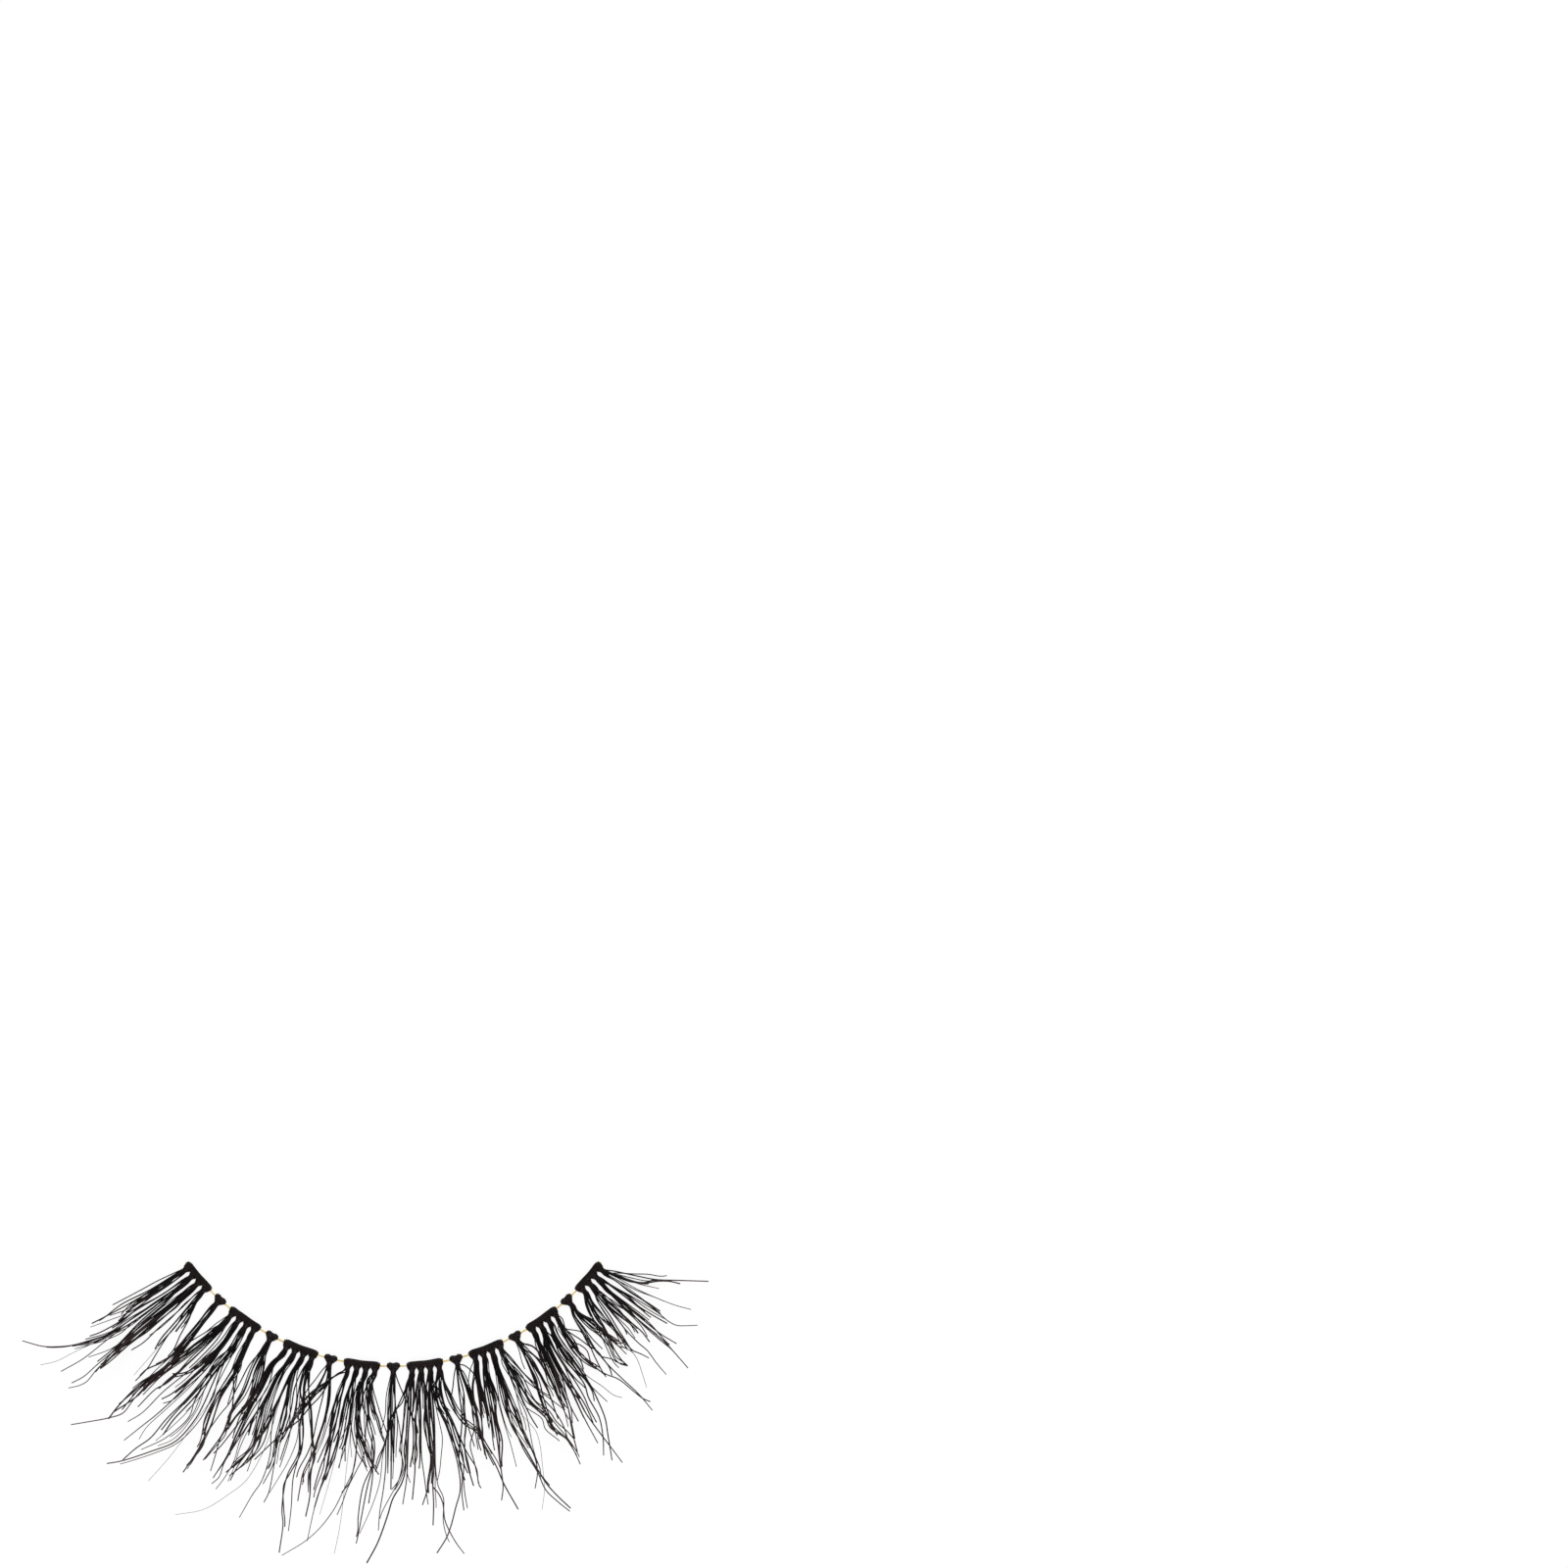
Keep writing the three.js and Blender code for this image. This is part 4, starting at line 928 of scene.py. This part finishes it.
def strandTube(leftLine, rightLine, loop, leftEnd, rightEnd, dice):
    # one hair folded in half: tip, root, knot, root, tip
    points = [tuple(p) for p in leftLine[::-1]] + loop + [tuple(p) for p in rightLine]
    cuts = [1] * (len(leftLine) - 2) + [2] + [3] * (len(loop) + 1) + [2] + [1] * (len(rightLine) - 2)
    cuts = cuts[:len(points) - 1]
    line, marks = smoothLine(points, cuts)
    leftCount, rightStart = len(leftLine) - 1, len(leftLine) + len(loop)
    total = len(points) - 1
    radii, along, tone, knotted = [], [], [], []
    leftCut, rightCut = dice.uniform(*hairSizes["tipCut"]), dice.uniform(*hairSizes["tipCut"])
    ownBy = 14      # a hair has its own width by this part of its length
    for mark in marks:
        if mark < leftCount:
            share, end, cut = (leftCount - mark) / leftCount, leftEnd, leftCut
        elif mark > rightStart:
            share, end, cut = (mark - rightStart) / max(1, total - rightStart), rightEnd, rightCut
        else:
            share, end, cut = 0.0, leftEnd if mark < (leftCount + rightStart) / 2 else rightEnd, 1.0
        own = min(1.0, share * ownBy)
        width = knotSizes["hairWidth"] * (1 - own) + end["width"] * own
        radii.append(width / 2 * (1 - (1 - cut) * tipShare(share)))
        along.append(share)
        tone.append(end["brown"])
        knotted.append(max(0.0, 1 - share * ownBy))
    sides = hairSizes["sides"]
    mesh = tubeMesh(line, np.array(radii), sides)
    mesh[0][:, 2] = np.maximum(mesh[0][:, 2], knotSizes["lowest"])
    mesh[2][:, 2] += dice.uniform(0, 400)
    shade = np.column_stack([spread(along, sides), spread(tone, sides), spread(knotted, sides)])
    return mesh, shade


def tuckedHair(bundle, end, rootAlong, outward, dice):
    aside = dice.uniform(-0.11, 0.11)
    start = bandPoint(rootAlong + aside, knotSizes["rootOut"], 0)[:2]
    rootUp = knotSizes["rootUp"] + dice.uniform(-0.05, 0.05)
    free = freeLine(end, start, outward + aside * 40, rootUp, dice)
    inside = [bandPoint(rootAlong + aside * 0.8, out, rootUp) for out in (0.20, 0.33)]
    points = inside + [tuple(p) for p in free]
    line, marks = smoothLine(points, [1] * (len(points) - 1))
    share = marks / marks[-1]
    cut = dice.uniform(*hairSizes["tipCut"])
    radii = end["width"] / 2 * (1 - (1 - cut) * tipShare(share))
    sides = hairSizes["sides"]
    mesh = tubeMesh(line, radii, sides)
    mesh[0][:, 2] = np.maximum(mesh[0][:, 2], knotSizes["lowest"])
    mesh[2][:, 2] += dice.uniform(0, 400)
    shade = plainShade(mesh, tone=end["brown"])
    shade[:, 0] = spread(share, sides)
    bundle.add(mesh, shade)


def packedRidge(bundle, middle, stations, widths, dice):
    # the lacquered middle of a knot or bar along the thread: the wraps stand just proud of it
    fine = np.linspace(stations[0], stations[-1], int((stations[-1] - stations[0]) / 0.045) + 2)
    radii = np.interp(fine, stations, widths)
    phase = dice.uniform(0, 6.3)
    radii = radii * (1 + 0.025 * np.sin(fine * 9 + phase) + 0.02 * np.sin(fine * 23 + phase * 2))
    line = np.array([bandPoint(middle + s, -0.030, threadHeight + 0.002) for s in fine])
    mesh = tubeMesh(line, radii, 14, 0.93)
    bundle.add(mesh, plainShade(mesh, knotted=0.7))


# how far out and up each binding hair lies, its width, and how far it stops short of the bar's ends
bindingRows = (
    (-0.250, 0.330, 0.084, 0.05),
    (-0.180, 0.412, 0.084, 0.0),
    (-0.085, 0.455, 0.062, 0.12),
)


def bindingHairs(bundle, middle, half, dice):
    # hairs that run lengthwise over the wraps of a bar and make its straight upper edge
    for out, up, width, short in bindingRows:
        up += threadHeight - knotSizes["drawnAt"]
        points = []
        reach = half - short
        phase = dice.uniform(0, 6.3)
        for share in np.linspace(-1, 1, 13):
            sway = 0.010 * math.sin(share * 5 + phase)
            sink = 0.055 * max(0.0, abs(share) - 0.86) / 0.14
            height = up - sink * 1.6 + sway * 0.3
            points.append(bandPoint(middle + reach * share, out + sway + sink, height))
        line, _ = smoothLine(points, [4] * 12)
        radii = width / 2 * np.interp(np.linspace(0, 1, len(line)), (0, 0.06, 0.94, 1), (0.5, 1, 1, 0.5))
        mesh = tubeMesh(line, radii, 8)
        bundle.add(mesh, plainShade(mesh, knotted=0.6))


def packedNeck(bundle, along, width):
    # fills the root between the legs, from under the bights to where the hairs part
    outs = np.array((0.06, 0.14, 0.22, 0.30, 0.38, 0.46, 0.52))
    widths = width * np.array((0.9, 1.0, 0.88, 0.72, 0.58, 0.45, 0.22))
    heights = np.interp(outs, (0.06, 0.22, 0.52), (threadHeight, threadHeight + 0.005, threadHeight - 0.035))
    line = np.array([bandPoint(along, out, up) for out, up in zip(outs, heights)])
    mesh = tubeMesh(line, widths, 12, 0.5)
    bundle.add(mesh, plainShade(mesh, knotted=0.35))


def knotStrands(bundle, tuft, rootIndex, rootAlong, single, leftFlare, rightFlare, dice):
    columns = knotSizes["singleColumns"] if single else knotSizes["barColumns"]
    wraps = knotSizes["singleWrap"] if single else (knotSizes["barWrap"],) * 4
    narrowing = knotSizes["singleNarrowing"] if single else knotSizes["barNarrowing"]
    earNarrowing = knotSizes["earNarrowing"]
    ends, tucked, outward = rootEnds(tuft, rootIndex, rootAlong, 2 * len(columns), dice)
    middle = len(columns)
    for i, column in enumerate(columns):
        flare = knotSizes["earFlare"][i]
        leftEnd, rightEnd = ends[middle - 1 - i], ends[middle + i]
        crossOut = 0.105 + 0.038 * i
        sides = []
        for ear in (leftFlare, rightFlare):
            wrap = knotSizes["earWrap"][i] if ear else wraps[i]
            narrow = earNarrowing if ear else narrowing
            sides.append(halfLoop(column, wrap, flare * ear, narrow, crossOut, dice))
        left, right = sides
        bightUp = 0.400 + 0.018 * (i % 2) + threadHeight - knotSizes["drawnAt"]
        loop = [bandPoint(rootAlong - s, out, up) for s, out, up in left]
        loop.append(bandPoint(rootAlong, crossOut, bightUp))
        loop += [bandPoint(rootAlong + s, out, up) for s, out, up in right[::-1]]
        lines = []
        for sign, end in ((-1, leftEnd), (1, rightEnd)):
            offset = sign * knotSizes["rootColumns"][i] + dice.uniform(-0.008, 0.008)
            start = bandPoint(rootAlong + offset, knotSizes["rootOut"], 0)[:2]
            rootUp = knotSizes["rootUp"] + (0.05 if i % 2 else -0.035) + dice.uniform(-0.012, 0.012)
            fan = hairSizes["singleFan"] if single else hairSizes["rootFan"]
            lead = outward + sign * (i + 0.5) * fan + dice.gauss(0, 1.2)
            lines.append(freeLine(end, start, lead, rootUp, dice))
        mesh, shade = strandTube(lines[0], lines[1], loop, leftEnd, rightEnd, dice)
        bundle.add(mesh, shade)
    for end in tucked:
        tuckedHair(bundle, end, rootAlong, outward, dice)


def makeTuft(name, number, single):
    dice = random.Random(1000 + number * 17 + (500 if single else 0))
    middle = tuftMiddle(name)
    bundle = Bundle()
    if single:
        knotStrands(bundle, name, 0, middle, True, 0, 0, dice)
        stations = (-0.46, -0.41, -0.33, -0.22, 0.0, 0.22, 0.33, 0.41, 0.46)
        widths = (0.080, 0.150, 0.215, 0.240, 0.200, 0.240, 0.215, 0.150, 0.080)
        packedRidge(bundle, middle, stations, widths, dice)
        packedNeck(bundle, middle, 0.24)
        piece = bundle.piece("single_hair_%d" % number, lashHair)
    else:
        last = knotSizes["knotsInBar"] - 1
        roots = [middle + (k - last / 2) * knotSizes["pitch"] for k in range(last + 1)]
        for k, along in enumerate(roots):
            leftFlare = 1 if k == 0 else 0
            rightFlare = 1 if k == last else 0
            knotStrands(bundle, name, k, along, False, leftFlare, rightFlare, dice)
        half = (last + 1) / 2 * knotSizes["pitch"]
        stations = (-half, -half + 0.04, -half + 0.14, half - 0.14, half - 0.04, half)
        widths = (0.07, 0.140, 0.212, 0.212, 0.140, 0.07)
        packedRidge(bundle, middle, stations, widths, dice)
        bindingHairs(bundle, middle, half - 0.02, dice)
        for along in roots:
            packedNeck(bundle, along, 0.25)
        piece = bundle.piece("bar_hair_%d" % number, lashHair)
    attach(piece, "root")
    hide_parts(name)
    return piece


tufts = [makeTuft("bar_tuft_%d" % n, n, False) for n in range(1, 9)]
tufts += [makeTuft("single_tuft_%d" % n, n, True) for n in range(1, 8)]
print("tufts knotted:", len(tufts), "faces:", sum(len(t.data.polygons) for t in tufts))


# the golden thread, two plies twisted together
threadLook = {
    "gold": (0.90, 0.62, 0.130, 1),
    "goldLight": (1.0, 0.82, 0.32, 1),
    # darker gold painted into the grooves between fibres as shade
    "goldGrooveShade": (0.68, 0.43, 0.080, 1),
    "dust": (0.9, 0.82, 0.62, 1),
    "roughness": 0.38,
    "streakRough": 0.25,
    "specular": 0.45,
    "sheen": 0.25,
    "sheenRough": 0.5,
    "bump": 0.8,
    "bumpHeight": 0.004,
    "plyWidth": 0.074,
    "plyOut": 0.029,
    "twist": 0.44,          # mm for one whole turn
    "stepsPerTurn": 10,
    "fuzzCount": 90,
    "fuzzWidth": 0.010,
}


def makeThreadMaterial():
    material, tree, shader = newMaterial("goldThread")
    dye = placeGroup(tree, unevenDye, Light=threadLook["goldLight"], Dark=threadLook["gold"], Size=1400.0)
    streaks = placeGroup(tree, fibreStreaks, Streak_Length=1.2, Streak_Count=3.2, Scales=5.0)
    dust = placeGroup(tree, dustAndGlintFlecks, Size=9000.0, Amount=0.25)
    # painted shade: darker gold where the streaks' bump is lowest, in the grooves between fibres
    grooveShade = ramp(tree, streaks.outputs["Streak"], 0.55, 0.30)
    colour = mixColour(tree, grooveShade, dye.outputs["Colour"], threadLook["goldGrooveShade"])
    colour = mixColour(tree, dust.outputs["Mask"], colour, threadLook["dust"])
    tree.links.new(colour, shader.inputs["Base Color"])
    rough = mathNode(tree, "MULTIPLY", streaks.outputs["Streak"], threadLook["streakRough"])
    rough = mathNode(tree, "ADD", rough, threadLook["roughness"])
    tree.links.new(rough, shader.inputs["Roughness"])
    shader.inputs["Specular IOR Level"].default_value = threadLook["specular"]
    shader.inputs["Sheen Weight"].default_value = threadLook["sheen"]
    shader.inputs["Sheen Roughness"].default_value = threadLook["sheenRough"]
    bump(tree, streaks.outputs["Height"], threadLook["bump"], threadLook["bumpHeight"] * mm, shader)
    return material


def makeThread():
    goldThread = makeThreadMaterial()
    dice = random.Random(77)
    ends = bandPlace(threadPoints)[0]
    start, end = float(ends.min()) + 0.03, float(ends.max()) - 0.03
    count = int((end - start) / threadLook["twist"] * threadLook["stepsPerTurn"])
    bundle = Bundle()
    stations = np.linspace(start, end, count)
    for ply in range(2):
        points = []
        for s in stations:
            turn = 2 * math.pi * s / threadLook["twist"] + math.pi * ply + 0.5 * math.sin(s * 1.7)
            sway = 0.006 * math.sin(s * 2.9 + 1) + 0.004 * math.sin(s * 7.3)
            out = threadLook["plyOut"] * math.cos(turn) + sway
            up = threadHeight + threadLook["plyOut"] * math.sin(turn) + 0.004 * math.sin(s * 4.1)
            points.append(bandPoint(s, out, up))
        line = np.array(points)
        uneven = 1 + 0.07 * np.sin(stations * 5.3 + ply) + 0.04 * np.sin(stations * 13.1)
        width = threadLook["plyWidth"] / 2 * uneven
        fray = np.minimum(1.0, np.minimum(stations - start, end - stations) * 9 + 0.55)
        mesh = tubeMesh(line, width * fray, 8)
        bundle.add(mesh, plainShade(mesh))
    for k in range(threadLook["fuzzCount"]):
        s = dice.uniform(start, end)
        angle = dice.uniform(0, 2 * math.pi)
        lean = dice.choice((-1, 1)) * dice.uniform(0.05, 0.16)
        rise = dice.uniform(0.03, 0.09)
        points = []
        for share in (-0.4, 0.0, 0.35, 0.7, 1.0):
            reach = 0.052 + rise * max(0.0, share) ** 1.3
            turned = angle + share * dice.uniform(0.1, 0.7)
            up = threadHeight + reach * math.sin(turned)
            points.append(bandPoint(s + lean * share, reach * math.cos(turned), up))
        line, _ = smoothLine(points, [2] * 4)
        radii = np.linspace(threadLook["fuzzWidth"] / 2, threadLook["fuzzWidth"] / 5, len(line))
        mesh = tubeMesh(line, radii, 4)
        bundle.add(mesh, plainShade(mesh))
    piece = bundle.piece("gold_thread", goldThread)
    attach(piece, "root")
    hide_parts("band_thread")
    return piece


thread = makeThread()
print("thread twisted, faces:", len(thread.data.polygons))


# a white floor that glows like a light table, so that hardly any shadow shows under the hairs: the glow is
# painted light over their shadows
floorLook = {
    "size": 6.0,
    "white": (0.150, 0.150, 0.150, 1),
    "offWhite": (0.142, 0.142, 0.142, 1),
    # the floor's own glow: painted light that fills in the shadows
    "glow": 0.885,
    "roughness": 0.8,
    "specular": 0.2,
}


def makeFloor():
    material, tree, shader = newMaterial("glowingFloor")
    dye = placeGroup(tree, unevenDye, Light=floorLook["white"], Dark=floorLook["offWhite"], Size=90.0)
    tree.links.new(dye.outputs["Colour"], shader.inputs["Base Color"])
    shader.inputs["Roughness"].default_value = floorLook["roughness"]
    # painted light: the floor glows and so washes out the hairs' shadows
    shader.inputs["Emission Color"].default_value = (1, 1, 1, 1)
    shader.inputs["Emission Strength"].default_value = floorLook["glow"]
    shader.inputs["Specular IOR Level"].default_value = floorLook["specular"]
    half = floorLook["size"] / 2
    mesh = bpy.data.meshes.new("glowing_floor")
    corners = [(-half, -half, 0), (half, -half, 0), (half, half, 0), (-half, half, 0)]
    mesh.from_pydata(corners, [], [(0, 1, 2, 3)])
    mesh.materials.append(material)
    floor = bpy.data.objects.new("glowing_floor", mesh)
    bpy.context.scene.collection.objects.link(floor)


lightPlan = {
    "world": (1.0, 1.0, 1.0, 1),
    "worldStrength": 0.38,
    "lamps": (          # place in m, size in m, power in W
        ((0.05, 0.85, 0.95), 0.9, 7.0),
        ((-0.15, -0.95, 0.85), 0.9, 6.0),
    ),
}


def makeLights():
    world = bpy.data.worlds.new("softRoom")
    world.use_nodes = True
    background = world.node_tree.nodes["Background"]
    background.inputs["Color"].default_value = lightPlan["world"]
    background.inputs["Strength"].default_value = lightPlan["worldStrength"]
    bpy.context.scene.world = world
    for k, (place, size, power) in enumerate(lightPlan["lamps"]):
        data = bpy.data.lights.new("softLamp%d" % k, "AREA")
        data.shape = "SQUARE"
        data.size = size
        data.energy = power
        lamp = bpy.data.objects.new("softLamp%d" % k, data)
        lamp.location = place
        lamp.rotation_euler = (-Vector(place)).to_track_quat("-Z", "Y").to_euler()
        bpy.context.scene.collection.objects.link(lamp)


cameraPlan = {"frameWidth": 107.95, "centre": (26.9, 40.1), "lens": 300.0, "sensor": 36.0}


def makeCamera():
    data = bpy.data.cameras.new("overheadCamera")
    data.lens = cameraPlan["lens"]
    data.sensor_width = cameraPlan["sensor"]
    camera = bpy.data.objects.new("overheadCamera", data)
    distance = cameraPlan["frameWidth"] * cameraPlan["lens"] / cameraPlan["sensor"]
    camera.location = (cameraPlan["centre"][0] * mm, cameraPlan["centre"][1] * mm, (distance + 0.5) * mm)
    camera.rotation_euler = (0, 0, 0)
    data.clip_start, data.clip_end = 0.01, 20
    bpy.context.scene.collection.objects.link(camera)
    bpy.context.scene.camera = camera


makeFloor()
makeLights()
makeCamera()
bpy.context.scene.view_settings.view_transform = "Standard"
print("floor, lights and camera set")
